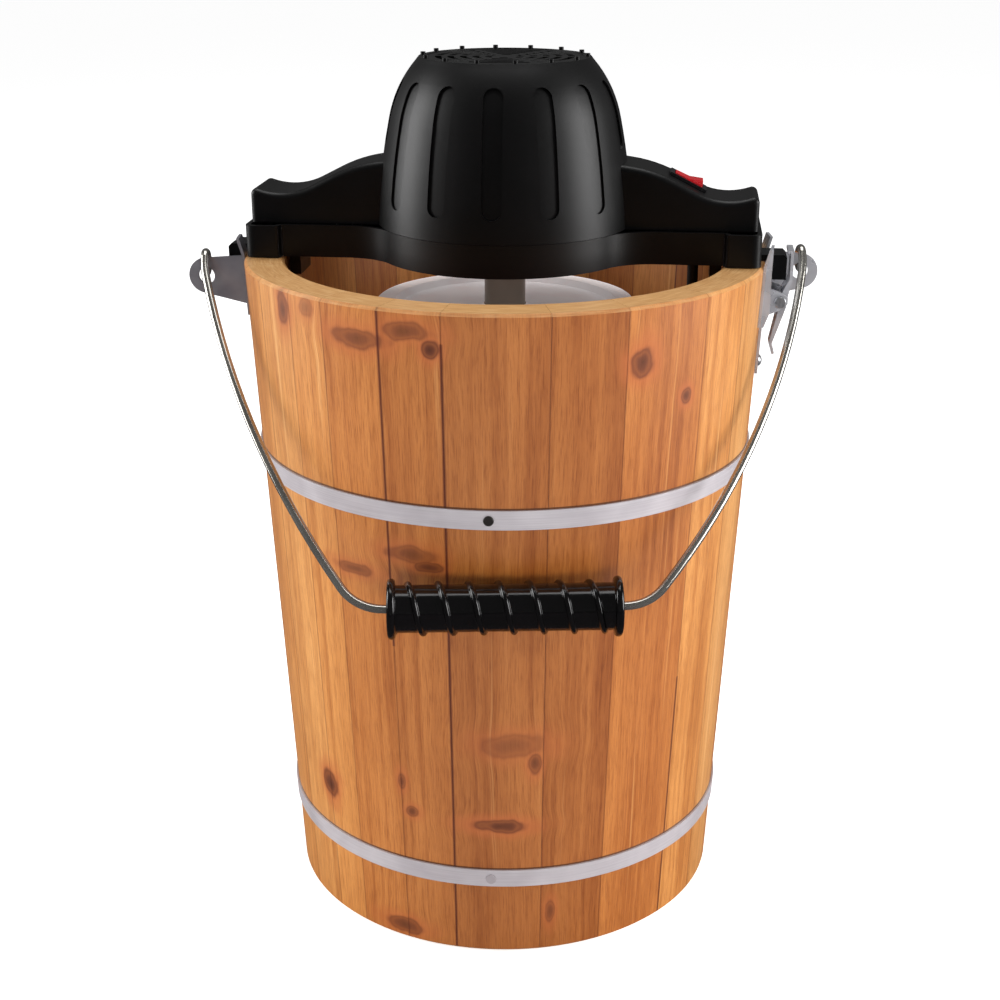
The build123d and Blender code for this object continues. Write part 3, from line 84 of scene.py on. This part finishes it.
camera_data = bpy.data.cameras.new("photo_camera")
camera_data.sensor_width = sensor_width
camera_data.sensor_fit = "HORIZONTAL"
camera_data.lens = focal_pixels / image_pixels * sensor_width
camera_data.shift_x = (image_pixels / 2 - axis_pixel_x) / image_pixels
camera_data.clip_start = 0.01
camera_data.clip_end = 100.0
camera = bpy.data.objects.new("photo_camera", camera_data)
bpy.context.scene.collection.objects.link(camera)
turn = math.radians(camera_azimuth)
camera.location = (
    camera_distance * math.sin(turn) * MM,
    -camera_distance * math.cos(turn) * MM,
    camera_height * MM,
)
camera.rotation_euler = (math.radians(90.0 - camera_pitch), 0.0, turn)
bpy.context.scene.camera = camera
bpy.context.scene.view_settings.view_transform = "Standard"


# ---------------------------------------------------------------- colour, nodes and mesh helpers
def linear(code, alpha=1.0):
    """sRGB hex code as the linear colour a shader socket takes."""
    channels = [int(code[i : i + 2], 16) / 255 for i in (1, 3, 5)]
    return (*[c / 12.92 if c <= 0.04045 else ((c + 0.055) / 1.055) ** 2.4 for c in channels], alpha)


def feed(tree, node, inputs):
    """Gives the node's sockets, in order or by key, their values or the outputs that link to them."""
    for key, value in inputs.items() if isinstance(inputs, dict) else enumerate(inputs):
        if isinstance(value, bpy.types.NodeSocket):
            tree.links.new(value, node.inputs[key])
        else:
            node.inputs[key].default_value = value


def put(tree, kind, inputs=(), out=0, stops=(), **settings):
    """Adds one node and returns one of its outputs: inputs feed its sockets, stops are a ramp's places and
    hex codes, and settings are the node's attributes."""
    node = tree.nodes.new("ShaderNode" + kind)
    for name, value in settings.items():
        setattr(node, name, value)
    feed(tree, node, inputs)
    for _ in stops[2:]:
        node.color_ramp.elements.new(0.5)
    for number, (place, code) in enumerate(stops):
        node.color_ramp.elements[number].position = place
        node.color_ramp.elements[number].color = linear(code)
    return node.outputs[out]


def blank(name):
    """A new material with its node tree, its shader and its object coordinates in millimetres."""
    material = bpy.data.materials.new(name)
    material.use_nodes = True
    tree = material.node_tree
    place = put(tree, "TexCoord", out="Object")
    in_mm = put(tree, "VectorMath", {0: place, 3: 1.0 / MM}, operation="SCALE")
    return material, tree, tree.nodes["Principled BSDF"], in_mm


def dress(names, material):
    """Gives CAD nodes the material in every slot."""
    for name in names:
        slots = nodes[name].data.materials
        if not slots:
            slots.append(material)
        for index in range(len(slots)):
            slots[index] = material


def grid_mesh(name, points, close_u, close_v):
    """Mesh from a (u, v, 3) array of points in millimetres, joined round in u and in v where asked. Seen from
    outside, u has to run a quarter turn counterclockwise from v, so that the faces point outwards."""
    rows, columns = points.shape[:2]
    u = np.arange(rows if close_u else rows - 1)
    v = np.arange(columns if close_v else columns - 1)
    a, b = (g.ravel() for g in np.meshgrid(u, v, indexing="ij"))
    c, d = (a + 1) % rows, (b + 1) % columns
    faces = np.stack([a * columns + b, a * columns + d, c * columns + d, c * columns + b], axis=1)
    mesh = bpy.data.meshes.new(name)
    mesh.from_pydata((points.reshape(-1, 3) * MM).tolist(), [], faces.tolist())
    mesh.polygons.foreach_set("use_smooth", np.ones(len(faces), dtype=bool))
    mesh.update()
    piece = bpy.data.objects.new(name, mesh)
    bpy.context.scene.collection.objects.link(piece)
    return piece


# ---------------------------------------------------------------- cedar
# Each knot: angle round the bucket and height of its middle, half width, half height in mm, darkness.
front_knots = (
    (-136.3, 346.0, 4.5, 10.0, 0.85),
    (-128.0, 351.0, 5.0, 5.0, 0.5),
    (-114.5, 341.0, 14.0, 5.5, 0.75),
    (-103.5, 347.0, 12.0, 4.5, 0.7),
    (-98.8, 339.0, 3.8, 5.0, 0.98),
    (-55.5, 330.0, 6.5, 7.5, 0.92),
    (-43.5, 308.0, 3.2, 4.0, 0.85),
    (-119.1, 219.0, 12.0, 3.5, 0.7),
    (-104.5, 233.0, 13.0, 4.5, 0.65),
    (-100.5, 227.0, 7.0, 3.0, 0.9),
    (-134.1, 80.0, 6.0, 8.5, 0.95),
    (-109.6, 100.0, 2.4, 5.0, 0.75),
    (-107.3, 83.0, 3.6, 3.2, 0.75),
    (-81.7, 129.0, 16.0, 7.0, 0.5),
    (-77.0, 118.0, 3.5, 6.0, 0.75),
    (-85.2, 80.0, 15.0, 4.0, 0.9),
    (-111.0, 8.0, 12.0, 5.0, 0.8),
    (-72.5, 25.0, 2.8, 7.0, 0.65),
)

# Grain layers: a feature's reach across, along and through the stave in mm, its detail and roughness.
# Real fibres are finer than half a millimetre and wouldn't show, so they are drawn as coarse as that.
grain_layers = {
    "rings": ((4.2, 380.0, 60.0), 5.0, 0.6),
    "broad": ((22.0, 420.0, 90.0), 2.0, 0.5),
    "patches": ((34.0, 110.0, 40.0), 4.0, 0.6),
    "fibres": ((0.5, 15.0, 3.0), 3.0, 0.75),
    "pale": ((2.6, 260.0, 40.0), 2.0, 0.5),
    "late": ((1.9, 300.0, 50.0), 2.0, 0.5),
}
grain_jump = 900.0
sway_reach = 11.0
knot_push = 0.1


def cedar_parts(tree, in_mm):
    """Angle round the bucket in degrees, radius, height, degrees to the nearest seam and to the nearest open
    seam, and for each stave a chance and a tone from 0 for dark to 1 for pale, partly painted light."""
    x, y, height = put(tree, "SeparateXYZ", (in_mm,)).node.outputs
    angle = put(tree, "Math", (put(tree, "Math", (y, x), operation="ARCTAN2"),), operation="DEGREES")
    radius = put(tree, "VectorMath", (put(tree, "CombineXYZ", (x, y)),), "Value", operation="LENGTH")
    # the sum starts from the tone of the stave that spans the back, where the angle changes sign
    behind = next(k for k in range(stave_count) if first_seam_angle + sum(stave_widths[: k + 1]) > 180.0)
    tone_and_light = stave_tones_and_light[behind]
    index = 0.0
    seam_gap = 360.0
    open_gap = 360.0
    for k in range(stave_count):
        seam = (first_seam_angle + sum(stave_widths[:k]) + 180.0) % 360.0 - 180.0
        past = put(tree, "Math", (angle, seam), operation="GREATER_THAN")
        index = put(tree, "Math", (index, past), operation="ADD")
        step = stave_tones_and_light[k] - stave_tones_and_light[k - 1]
        tone_and_light = put(tree, "Math", (past, step, tone_and_light), operation="MULTIPLY_ADD")
        off_seam = put(tree, "Math", (angle, seam), operation="SUBTRACT")
        beside = put(tree, "Math", (off_seam,), operation="ABSOLUTE")
        seam_gap = put(tree, "Math", (seam_gap, beside), operation="MINIMUM")
        if k in open_seams:
            foot, top = open_seams[k]
            within = put(tree, "Math", (height, (foot + top) / 2, (top - foot) / 2), operation="COMPARE")
            closed = put(tree, "Math", (within, -360.0, 360.0), operation="MULTIPLY_ADD")
            open_here = put(tree, "Math", (beside, closed), operation="ADD")
            open_gap = put(tree, "Math", (open_gap, open_here), operation="MINIMUM")
    wrapped = put(tree, "Math", (index, stave_count), operation="MODULO")
    seed = put(tree, "Math", (wrapped, 3.0), operation="ADD")
    chance = put(tree, "TexWhiteNoise", {"W": seed}, "Value", noise_dimensions="1D")
    return angle, radius, height, seam_gap, open_gap, chance, tone_and_light


def cedar():
    """Oiled knotty cedar, planed: orange-brown early wood with fine darker late wood lines along the stave,
    reddish knots that the lines flow round, and pale end grain on the rim."""
    material, tree, shader, in_mm = blank("oiled_cedar_staves")
    angle, radius, height, seam_gap, open_gap, chance, tone_and_light = cedar_parts(tree, in_mm)
    arc = put(tree, "Math", (angle, math.radians(1.0) * mean_radius), operation="MULTIPLY")

    # knots: a dark heart with rings and a reddish halo, each a ragged oval that pushes the grain aside
    core = 0.0
    halo = 0.0
    nearest = 9.0
    flow = 0.0
    ragged_place = put(tree, "VectorMath", (in_mm, (1.0, 1.0, 1.4)), operation="DIVIDE")
    wobble = put(tree, "TexNoise", {"Vector": ragged_place, "Scale": 0.09})
    ragged = put(tree, "Math", (wobble, 1.3, -0.7), operation="MULTIPLY_ADD")
    on_wall = put(tree, "CombineXYZ", (arc, height))
    for knot_angle, knot_z, half_width, half_height, depth in front_knots:
        knot_place = (math.radians(knot_angle) * mean_radius, knot_z, 0.0)
        off_knot = put(tree, "VectorMath", (on_wall, knot_place), operation="SUBTRACT")
        in_halves = put(tree, "VectorMath", (off_knot, (half_width, half_height, 1.0)), operation="DIVIDE")
        far = put(tree, "VectorMath", (in_halves,), "Value", operation="LENGTH")
        edge = put(tree, "Math", (far, ragged), operation="ADD")
        here = {}
        for name, source, outside, inside, share in (
            ("halo", edge, 2.5, 0.7, depth * 0.8),
            ("core", edge, 1.2, 0.75, depth * 0.95),
            ("push", far, 3.4, 0.7, knot_push),
        ):
            fade = {"Value": source, "From Min": outside, "From Max": inside, "To Max": share}
            here[name] = put(tree, "MapRange", fade, interpolation_type="SMOOTHSTEP")
        halo = put(tree, "Math", (halo, here["halo"]), operation="MAXIMUM")
        core = put(tree, "Math", (core, here["core"]), operation="MAXIMUM")
        nearest = put(tree, "Math", (nearest, edge), operation="MINIMUM")
        aside = put(tree, "SeparateXYZ", (off_knot,), "X")
        flow = put(tree, "Math", (aside, here["push"], flow), operation="MULTIPLY_ADD")

    # grain: stretched noise in a frame that lies along the wall and jumps from stave to stave
    sway_place = put(tree, "VectorMath", (in_mm, (45.0, 45.0, 240.0)), operation="DIVIDE")
    sway = put(tree, "TexNoise", {"Vector": sway_place, "Scale": 1.0, "Detail": 1.0})
    around_knots = put(tree, "Math", (arc, flow), operation="SUBTRACT")
    shifted = put(tree, "Math", (chance, grain_jump, around_knots), operation="MULTIPLY_ADD")
    swayed = put(tree, "Math", (sway, sway_reach, shifted), operation="MULTIPLY_ADD")
    grain_place = put(tree, "CombineXYZ", (swayed, height, radius))
    layer = {}
    for name, (reach, detail, roughness) in grain_layers.items():
        spread = put(tree, "VectorMath", (grain_place, reach), operation="DIVIDE")
        shape = {"Vector": spread, "Scale": 1.0, "Detail": detail, "Roughness": roughness}
        layer[name] = put(tree, "TexNoise", shape)
    figure = 0.0
    for name, share in (("rings", 0.45), ("broad", 0.27), ("patches", 0.28)):
        figure = put(tree, "Math", (layer[name], share, figure), operation="MULTIPLY_ADD")
    wood_stops = ((0.3, "#96592A"), (0.41, "#BF8043"), (0.5, "#D4985A"), (0.6, "#E2A869"), (0.72, "#F0C089"))
    colour = put(tree, "ValToRGB", (figure,), stops=wood_stops)
    fibre_tone = put(
        tree, "ValToRGB", (layer["fibres"],), stops=((0.30, "#BFA283"), (0.55, "#FFFFFF"), (0.8, "#EFDFC8"))
    )
    colour = put(tree, "Mix", {0: 0.8, 6: colour, 7: fibre_tone}, 2, data_type="RGBA", blend_type="MULTIPLY")
    for name, most, share, code in (("pale", 0.74, 0.45, "#F2C894"), ("late", 0.78, 0.6, "#9A5426")):
        span = {"Value": layer[name], "From Min": 0.66, "From Max": most, "To Max": share}
        streak = put(tree, "MapRange", span)
        colour = put(tree, "Mix", {0: streak, 6: colour, 7: linear(code)}, 2, data_type="RGBA")
    # stave tones: partly the staves' own colour and partly painted light, darker at the front and paler at
    # the sides
    tone_stops = ((0.0, "#C29E72"), (0.25, "#CEAC84"), (0.5, "#E3C295"), (0.8, "#FBE9C6"), (1.0, "#FFFBEC"))
    stave_tone_and_light = put(tree, "ValToRGB", (tone_and_light,), stops=tone_stops)
    colour = put(tree, "Mix", {0: 1.0, 6: colour, 7: stave_tone_and_light}, 2, data_type="RGBA", blend_type="MULTIPLY")
    colour = put(tree, "Mix", {0: halo, 6: colour, 7: linear("#B8622E")}, 2, data_type="RGBA")
    knot_stops = ((0.0, "#45200F"), (0.4, "#63301A"), (0.65, "#84461F"), (0.85, "#6C3318"), (1.0, "#8A4722"))
    knot_tone = put(tree, "ValToRGB", (nearest,), stops=knot_stops)
    colour = put(tree, "Mix", {0: core, 6: colour, 7: knot_tone}, 2, data_type="RGBA")

    # seams: a faint line where two staves meet, dark where the seam stands open
    seam_half = math.degrees(seam_half_width / mean_radius)
    joint = 0.0
    for gap, outside, inside, share in ((seam_gap, 1.6, 0.3, 0.35), (open_gap, 2.4, 0.6, 0.85)):
        outer, inner = seam_half * outside, seam_half * inside
        line = put(tree, "MapRange", {"Value": gap, "From Min": outer, "From Max": inner, "To Max": share})
        joint = put(tree, "Math", (joint, line), operation="MAXIMUM")
    colour = put(tree, "Mix", {0: joint, 6: colour, 7: linear("#561C10")}, 2, data_type="RGBA")

    # painted shade: a thin dark line just above the top edge of each hoop, standing in for the shadow in the
    # gap there
    for name in ("upper_hoop", "lower_hoop"):
        hoop_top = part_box(name)[1][2] / MM
        half_shade_line = hoop_shade_line_height / 2
        in_shade_line = put(tree, "Math", (height, hoop_top + half_shade_line, half_shade_line), operation="COMPARE")
        shade = put(tree, "Math", (in_shade_line, 0.8), operation="MULTIPLY")
        colour = put(tree, "Mix", {0: shade, 6: colour, 7: linear("#4A2A16")}, 2, data_type="RGBA")

    # end grain on the rim and the foot: arcs of rings across the thickness, paler
    upright = put(tree, "SeparateXYZ", (put(tree, "NewGeometry", out="Normal"),), "Z")
    level = put(tree, "Math", (upright,), operation="ABSOLUTE")
    is_end = put(tree, "MapRange", {"Value": level, "From Min": 0.6, "From Max": 0.8})
    end_place = put(tree, "CombineXYZ", (shifted, radius, chance))
    end_spread = put(tree, "VectorMath", (end_place, (11.0, 0.9, 1.0)), operation="DIVIDE")
    end_rings = put(tree, "TexNoise", {"Vector": end_spread, "Scale": 1.0, "Detail": 3.0})
    end_stops = ((0.3, "#BE8850"), (0.5, "#CF9C61"), (0.7, "#DFB27A"))
    end_colour = put(tree, "ValToRGB", (end_rings,), stops=end_stops)
    colour = put(tree, "Mix", {0: is_end, 6: colour, 7: end_colour}, 2, data_type="RGBA")

    both = put(tree, "Math", (layer["fibres"], layer["rings"]), operation="ADD")
    relief = put(tree, "Math", (both, 0.5), operation="MULTIPLY")
    look = {
        "Base Color": colour,
        "Roughness": put(tree, "Math", (layer["fibres"], 0.18, 0.36), operation="MULTIPLY_ADD"),
        "Coat Weight": 0.35,
        "Coat Roughness": 0.32,
        "Normal": put(tree, "Bump", {"Height": relief, "Strength": 0.35, "Distance": 0.3 * MM}),
    }
    feed(tree, shader, look)
    return material


# ---------------------------------------------------------------- metals
def metal(name, base, roughness, streaks_mm, blotch_mm=20.0, metallic=1.0, relief=0.05):
    """Rolled, brushed or plated metal: faint streaks, with their reach in mm for each direction, and soft
    blotches in the colour and the gloss."""
    material, tree, shader, in_mm = blank(name)
    spread = put(tree, "VectorMath", (in_mm, streaks_mm), operation="DIVIDE")
    streaks = put(tree, "TexNoise", {"Vector": spread, "Scale": 1.0, "Detail": 3.0})
    blotches = put(tree, "TexNoise", {"Vector": in_mm, "Scale": 1.0 / blotch_mm})
    both = put(tree, "Math", (streaks, blotches), operation="ADD")
    shade = put(tree, "Math", (both, 0.5), operation="MULTIPLY")
    look = {
        "Base Color": put(tree, "ValToRGB", (shade,), stops=((0.35, base[0]), (0.65, base[1]))),
        "Roughness": put(tree, "Math", (blotches, 0.16, roughness - 0.08), operation="MULTIPLY_ADD"),
        "Metallic": metallic,
        "Normal": put(tree, "Bump", {"Height": streaks, "Strength": relief, "Distance": 0.1 * MM}),
    }
    feed(tree, shader, look)
    return material


def nail_heads():
    """Nail heads: the upper one blackened, the lower one plated like its hoop."""
    material, tree, shader, in_mm = blank("plated_and_blackened_nails")
    height = put(tree, "SeparateXYZ", (in_mm,), "Z")
    is_upper = put(tree, "Math", (height, nails_split_z), operation="GREATER_THAN")
    tones = {0: is_upper, 6: linear("#B9B1B5"), 7: linear("#2E2A28")}
    colour = put(tree, "Mix", tones, 2, data_type="RGBA")
    feed(tree, shader, {"Base Color": colour, "Metallic": 0.35, "Roughness": 0.45})
    return material


# ---------------------------------------------------------------- plastics and maple
cloud_mm = 45.0
lid_cloud_mm = 18.0
lid_margin = 0.4
lid_step = 0.2


def moulded(name, base, roughness, grain_mm=0.6, relief=0.12, gloss=0.5):
    """Moulded plastic, or maple sanded smooth: an even, slightly clouded colour with a fine grain in the
    gloss."""
    material, tree, shader, in_mm = blank(name)
    grain = put(tree, "TexNoise", {"Vector": in_mm, "Scale": 1.0 / grain_mm})
    cloud = put(tree, "TexNoise", {"Vector": in_mm, "Scale": 1.0 / cloud_mm})
    look = {
        "Base Color": put(tree, "ValToRGB", (cloud,), stops=((0.35, base[0]), (0.65, base[1]))),
        "Roughness": put(tree, "Math", (grain, 0.14, roughness - 0.07), operation="MULTIPLY_ADD"),
        "Specular IOR Level": gloss,
        "Normal": put(tree, "Bump", {"Height": grain, "Strength": relief, "Distance": 0.08 * MM}),
    }
    feed(tree, shader, look)
    return material


def lid_plastic():
    """Natural polypropylene lid, moulded: milky and soft-edged, with a drab tan-grey hub. It is given a
    painted glow, an emission that lightens it a little in the head's shade."""
    material, tree, shader, in_mm = blank("milky_polypropylene")
    x, y, height = put(tree, "SeparateXYZ", (in_mm,)).node.outputs
    radius = put(tree, "VectorMath", (put(tree, "CombineXYZ", (x, y)),), "Value", operation="LENGTH")
    near_hub = put(tree, "Math", (radius, lid_hub_radius + lid_margin), operation="LESS_THAN")
    above = put(tree, "Math", (height, lid_plate_z + lid_step), operation="GREATER_THAN")
    is_hub = put(tree, "Math", (near_hub, above), operation="MULTIPLY")
    cloud = put(tree, "TexNoise", {"Vector": in_mm, "Scale": 1.0 / lid_cloud_mm})
    milky = put(tree, "ValToRGB", (cloud,), stops=((0.35, "#EFE5E5"), (0.65, "#FAF2F2")))
    colour = put(tree, "Mix", {0: is_hub, 6: milky, 7: linear("#6F6459")}, 2, data_type="RGBA")
    look = {
        "Base Color": colour,
        "Roughness": 0.32,
        # painted glow: emission that lightens the lid where it lies in shade
        "Emission Color": colour,
        "Emission Strength": 0.18,
        "Subsurface Weight": 0.25,
        "Subsurface Radius": (0.004, 0.004, 0.004),
    }
    feed(tree, shader, look)
    return material


# ---------------------------------------------------------------- every piece gets its finish
dress([f"stave_{i + 1:02d}" for i in range(stave_count)] + ["bucket_bottom"], cedar())
# Galvanised strip: a soft pinkish-grey sheen with faint lines round the hoop.
hoop_look = metal("galvanised_hoop_strip", ("#C4BDC2", "#D8D2D6"), 0.42, (40.0, 40.0, 0.5), metallic=0.35)
dress(["upper_hoop", "lower_hoop"], hoop_look)
# Zinc-plated sheet: bright, slightly clouded.
bright_zinc = ("#C2C2C7", "#D2D2D7")
bright_look = metal("zinc_plated_sheet", bright_zinc, 0.28, (14.0, 14.0, 14.0), 14.0, metallic=0.5)
dress(["right_bracket", "latch_lever"], bright_look)
# The same zinc-plated sheet with painted shade: darker and flatter, standing in for the dim reflections on
# the left bracket.
shaded_zinc = ("#85838A", "#9A989E")
shaded_zinc_look = metal("zinc_sheet_painted_shade", shaded_zinc, 0.34, (14.0, 14.0, 14.0), 14.0, metallic=0.6)
dress(["left_bracket"], shaded_zinc_look)
# Zinc-plated screws: small sharp glints.
screw_look = metal("zinc_plated_screws", ("#A2A3A6", "#C4C5C8"), 0.3, (2.0, 2.0, 2.0), 2.0, metallic=0.8)
dress(["bracket_screws", "latch_pin", "cover_screws", "idler_pin", "can_pivot"], screw_look)
dress(["hoop_nails"], nail_heads())
# Chrome-plated wire: dark edges and a bright core.
chrome = ("#A19E97", "#B5B2AB")
wire_look = metal("chrome_plated_wire", chrome, 0.16, (30.0, 30.0, 30.0), 25.0, metallic=0.88, relief=0.01)
dress(["bail_wire"], wire_look)
# Satin black ABS: deep black with a broad soft shine.
dress(["motor_cover", "motor_base"], moulded("satin_black_abs", ("#040404", "#080708"), 0.42, gloss=0.32))
dress(["top_grille"], moulded("satin_black_abs_grille", ("#040404", "#080708"), 0.46, gloss=0.32))
# Black nylon: slightly greyer, with a closer shine.
dress(["switch_body", "cord_gland"], moulded("black_nylon_switch", ("#0C0C0D", "#131315"), 0.38))
# Red nylon rocker: smooth and glossy.
dress(["switch_rocker"], moulded("red_nylon_rocker", ("#B5121B", "#CB1A22"), 0.25, relief=0.03))
dress(["canister_lid"], lid_plastic())
# Spun aluminium: pale metal with fine rings round the can.
dress(["canister"], metal("spun_aluminium_can", ("#B4B6B8", "#D2D4D6"), 0.33, (60.0, 60.0, 0.7)))
# White food-grade plastic: even and softly shiny.
dress(["dasher"], moulded("white_food_grade_plastic", ("#E2E2DC", "#EFEFEA"), 0.4))
# Maple scrapers: pale matt wood with a fine grain.
maple_look = moulded("maple_scrapers", ("#C39A68", "#D6B080"), 0.55, grain_mm=1.5, relief=0.3)
dress(["scraper_blades"], maple_look)
# Stacked motor steel: dark grey with fine lines between the sheets.
steel_look = metal("laminated_motor_steel", ("#6F7276", "#8C8F93"), 0.42, (30.0, 30.0, 0.5))
dress(["stator_core", "rotor_shaft"], steel_look)
# Enamelled copper winding: glossy red-brown, wound in fine lines.
copper_look = metal("enamelled_copper_winding", ("#9C4F26", "#C06D38"), 0.3, (0.4, 12.0, 12.0), metallic=0.9)
dress(["stator_coils"], copper_look)
# Die-cast frame: dull grey with a fine grain.
cast_look = metal("die_cast_frame", ("#9A9C9F", "#B2B4B7"), 0.45, (3.0, 3.0, 3.0))
dress(["gear_plate", "bearing_bridge", "stem_socket"], cast_look)
# Sintered bronze: matt yellow-brown, finely speckled.
dress(["shaft_bearings"], metal("sintered_bronze_bush", ("#9A7238", "#B98D4B"), 0.5, (1.0, 1.0, 1.0)))
# Natural nylon: warm white and softly shiny.
gear_look = moulded("natural_nylon_gear", ("#D8D3C3", "#E6E2D4"), 0.4)
dress(["output_gear", "idler_gear", "cooling_fan"], gear_look)
# Glossy black polypropylene: wet-looking highlights along the ribs.
grip_look = moulded("glossy_black_pp", ("#060606", "#0A090A"), 0.14, grain_mm=3.0, relief=0.03, gloss=0.42)

# ---------------------------------------------------------------- grip
grip_length = 113.4
grip_bore = 2.3
grip_barrel = 11.6
grip_rib_height = 1.8
grip_rib_width = 3.0
grip_flange_radius = 14.8
grip_flange_width = 4.0
grip_rib_pitch = 14.6
flange_shoulder = 0.45
grip_stations = 420
grip_sectors = 96


def grip_points(centre, along, side):
    """Closed surface round the wire: out over one end face, along the barrel, back over the other end
    face and through the bore. On the barrel the radius adds a rib where place / pitch - turn is near a whole
    number, and a rounded flange at each end."""
    place = np.linspace(0.0, grip_length, grip_stations)
    turns = np.linspace(0.0, 1.0, grip_sectors, endpoint=False)
    inside = np.minimum(place, grip_length - place)
    phase = place[:, None] / grip_rib_pitch - turns[None, :]
    off = np.abs(phase - np.round(phase)) * grip_rib_pitch
    rib = grip_rib_height * np.sqrt(np.clip(1.0 - (off / (grip_rib_width / 2)) ** 2, 0.0, 1.0))
    rib = rib * (inside[:, None] > grip_flange_width)
    flange_rise = grip_flange_radius - grip_barrel
    half_flange = grip_flange_width / 2
    rounded = np.sqrt(np.clip(1.0 - ((inside - half_flange) / half_flange) ** 2, 0.0, 1.0))
    shoulder = flange_shoulder + (1.0 - flange_shoulder) * rounded
    flange = np.where(inside < grip_flange_width, shoulder * flange_rise, 0.0)
    outer = grip_barrel + np.maximum(rib, flange[:, None])
    bore = np.full((2, grip_sectors), grip_bore)
    radius = np.concatenate([bore[:1], outer, bore[1:]])
    run = np.concatenate([[0.0], place, [grip_length]]) - grip_length / 2
    angle = turns * 2.0 * np.pi
    up = np.cross(along, side)
    around = np.cos(angle)[:, None] * side + np.sin(angle)[:, None] * up
    return centre + run[:, None, None] * along + radius[:, :, None] * around[None, :, :]


grip_low, grip_high = (np.array(corner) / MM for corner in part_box("bail_grip"))
grip_centre = (grip_low + grip_high) / 2
spin = next(joint for joint in frame["joints"] if joint["name"] == "grip_spin")
grip_along = np.array(spin["axis"])
grip_side = np.cross(grip_along, (0.0, 0.0, 1.0))
grip = grid_mesh("ribbed_grip", grip_points(grip_centre, grip_along, grip_side), True, True)
grip.data.materials.append(grip_look)
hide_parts("bail_grip")
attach(grip, "grip")


# ---------------------------------------------------------------- floor, backdrop and lamps
floor_half = 12.0
floor_glow = 0.63
sky_fill = 0.4
sky_in_gloss = 0.09


def pale_floor():
    """Matt white studio floor that the camera sees as near white, with the object's shadow on it, and that
    mirror-like surfaces see dim."""
    material, tree, shader, in_mm = blank("matt_white_floor")
    feed(tree, shader, {"Base Color": linear("#F2F2F2"), "Roughness": 0.9, "Specular IOR Level": 0.1})
    path = put(tree, "LightPath").node.outputs
    strength = put(tree, "Math", (path["Is Camera Ray"], floor_glow), operation="MULTIPLY")
    glow = put(tree, "Emission", {"Color": linear("#FFFFFF"), "Strength": strength})
    both = put(tree, "AddShader", (shader.outputs[0], glow))
    dim = put(tree, "BsdfDiffuse", {"Color": linear("#454144")})
    mirrored = put(tree, "MixShader", (path["Is Glossy Ray"], both, dim))
    tree.links.new(mirrored, tree.nodes["Material Output"].inputs["Surface"])
    return material


floor_mesh = bpy.data.meshes.new("floor")
corners = [(x * floor_half, y * floor_half, 0.0) for x, y in ((-1, -1), (1, -1), (1, 1), (-1, 1))]
floor_mesh.from_pydata(corners, [], [(0, 1, 2, 3)])
floor = bpy.data.objects.new("floor", floor_mesh)
bpy.context.scene.collection.objects.link(floor)
floor_mesh.materials.append(pale_floor())

world = bpy.data.worlds.new("soft_studio")
bpy.context.scene.world = world
world.use_nodes = True
sky = world.node_tree
# The camera sees white paper, mirror-like surfaces a dim room and matt ones an even sky.
seen_path = put(sky, "LightPath").node.outputs
in_gloss = put(sky, "Math", (seen_path["Is Glossy Ray"], sky_in_gloss - sky_fill), operation="MULTIPLY")
in_camera = put(
    sky, "Math", (seen_path["Is Camera Ray"], 1.0 - sky_fill, sky_fill), operation="MULTIPLY_ADD"
)
background = sky.nodes["Background"]
background.inputs["Color"].default_value = linear("#FFFFFF")
sky.links.new(put(sky, "Math", (in_camera, in_gloss), operation="ADD"), background.inputs["Strength"])


def soft_box(name, place, aim, size, watts, mirrored=True):
    """Square area lamp at a place in metres, pointed at aim; one that isn't mirrored leaves no highlight."""
    lamp = bpy.data.lights.new(name, "AREA")
    lamp.shape = "RECTANGLE"
    lamp.size, lamp.size_y = size
    lamp.energy = watts
    holder = bpy.data.objects.new(name, lamp)
    bpy.context.scene.collection.objects.link(holder)
    towards = np.array(aim) - np.array(place)
    towards = towards / np.linalg.norm(towards)
    yaw = math.atan2(-towards[0], towards[1])
    holder.visible_glossy = mirrored
    holder.location = place
    holder.rotation_euler = (math.acos(max(-1.0, min(1.0, -towards[2]))), 0.0, yaw)


middle = (0.0, 0.0, 0.25)
soft_box("left_soft_box", (-2.0, 0.1, 0.8), middle, (0.9, 1.4), 34.0)
soft_box("right_soft_box", (2.0, -0.1, 0.75), middle, (0.9, 1.4), 38.0)
soft_box("top_soft_box", (0.0, 0.3, 1.9), middle, (1.2, 1.0), 14.0)
soft_box("front_soft_box", (0.1, -1.5, 0.34), (0.0, 0.0, 0.16), (1.3, 0.3), 9.0, mirrored=False)
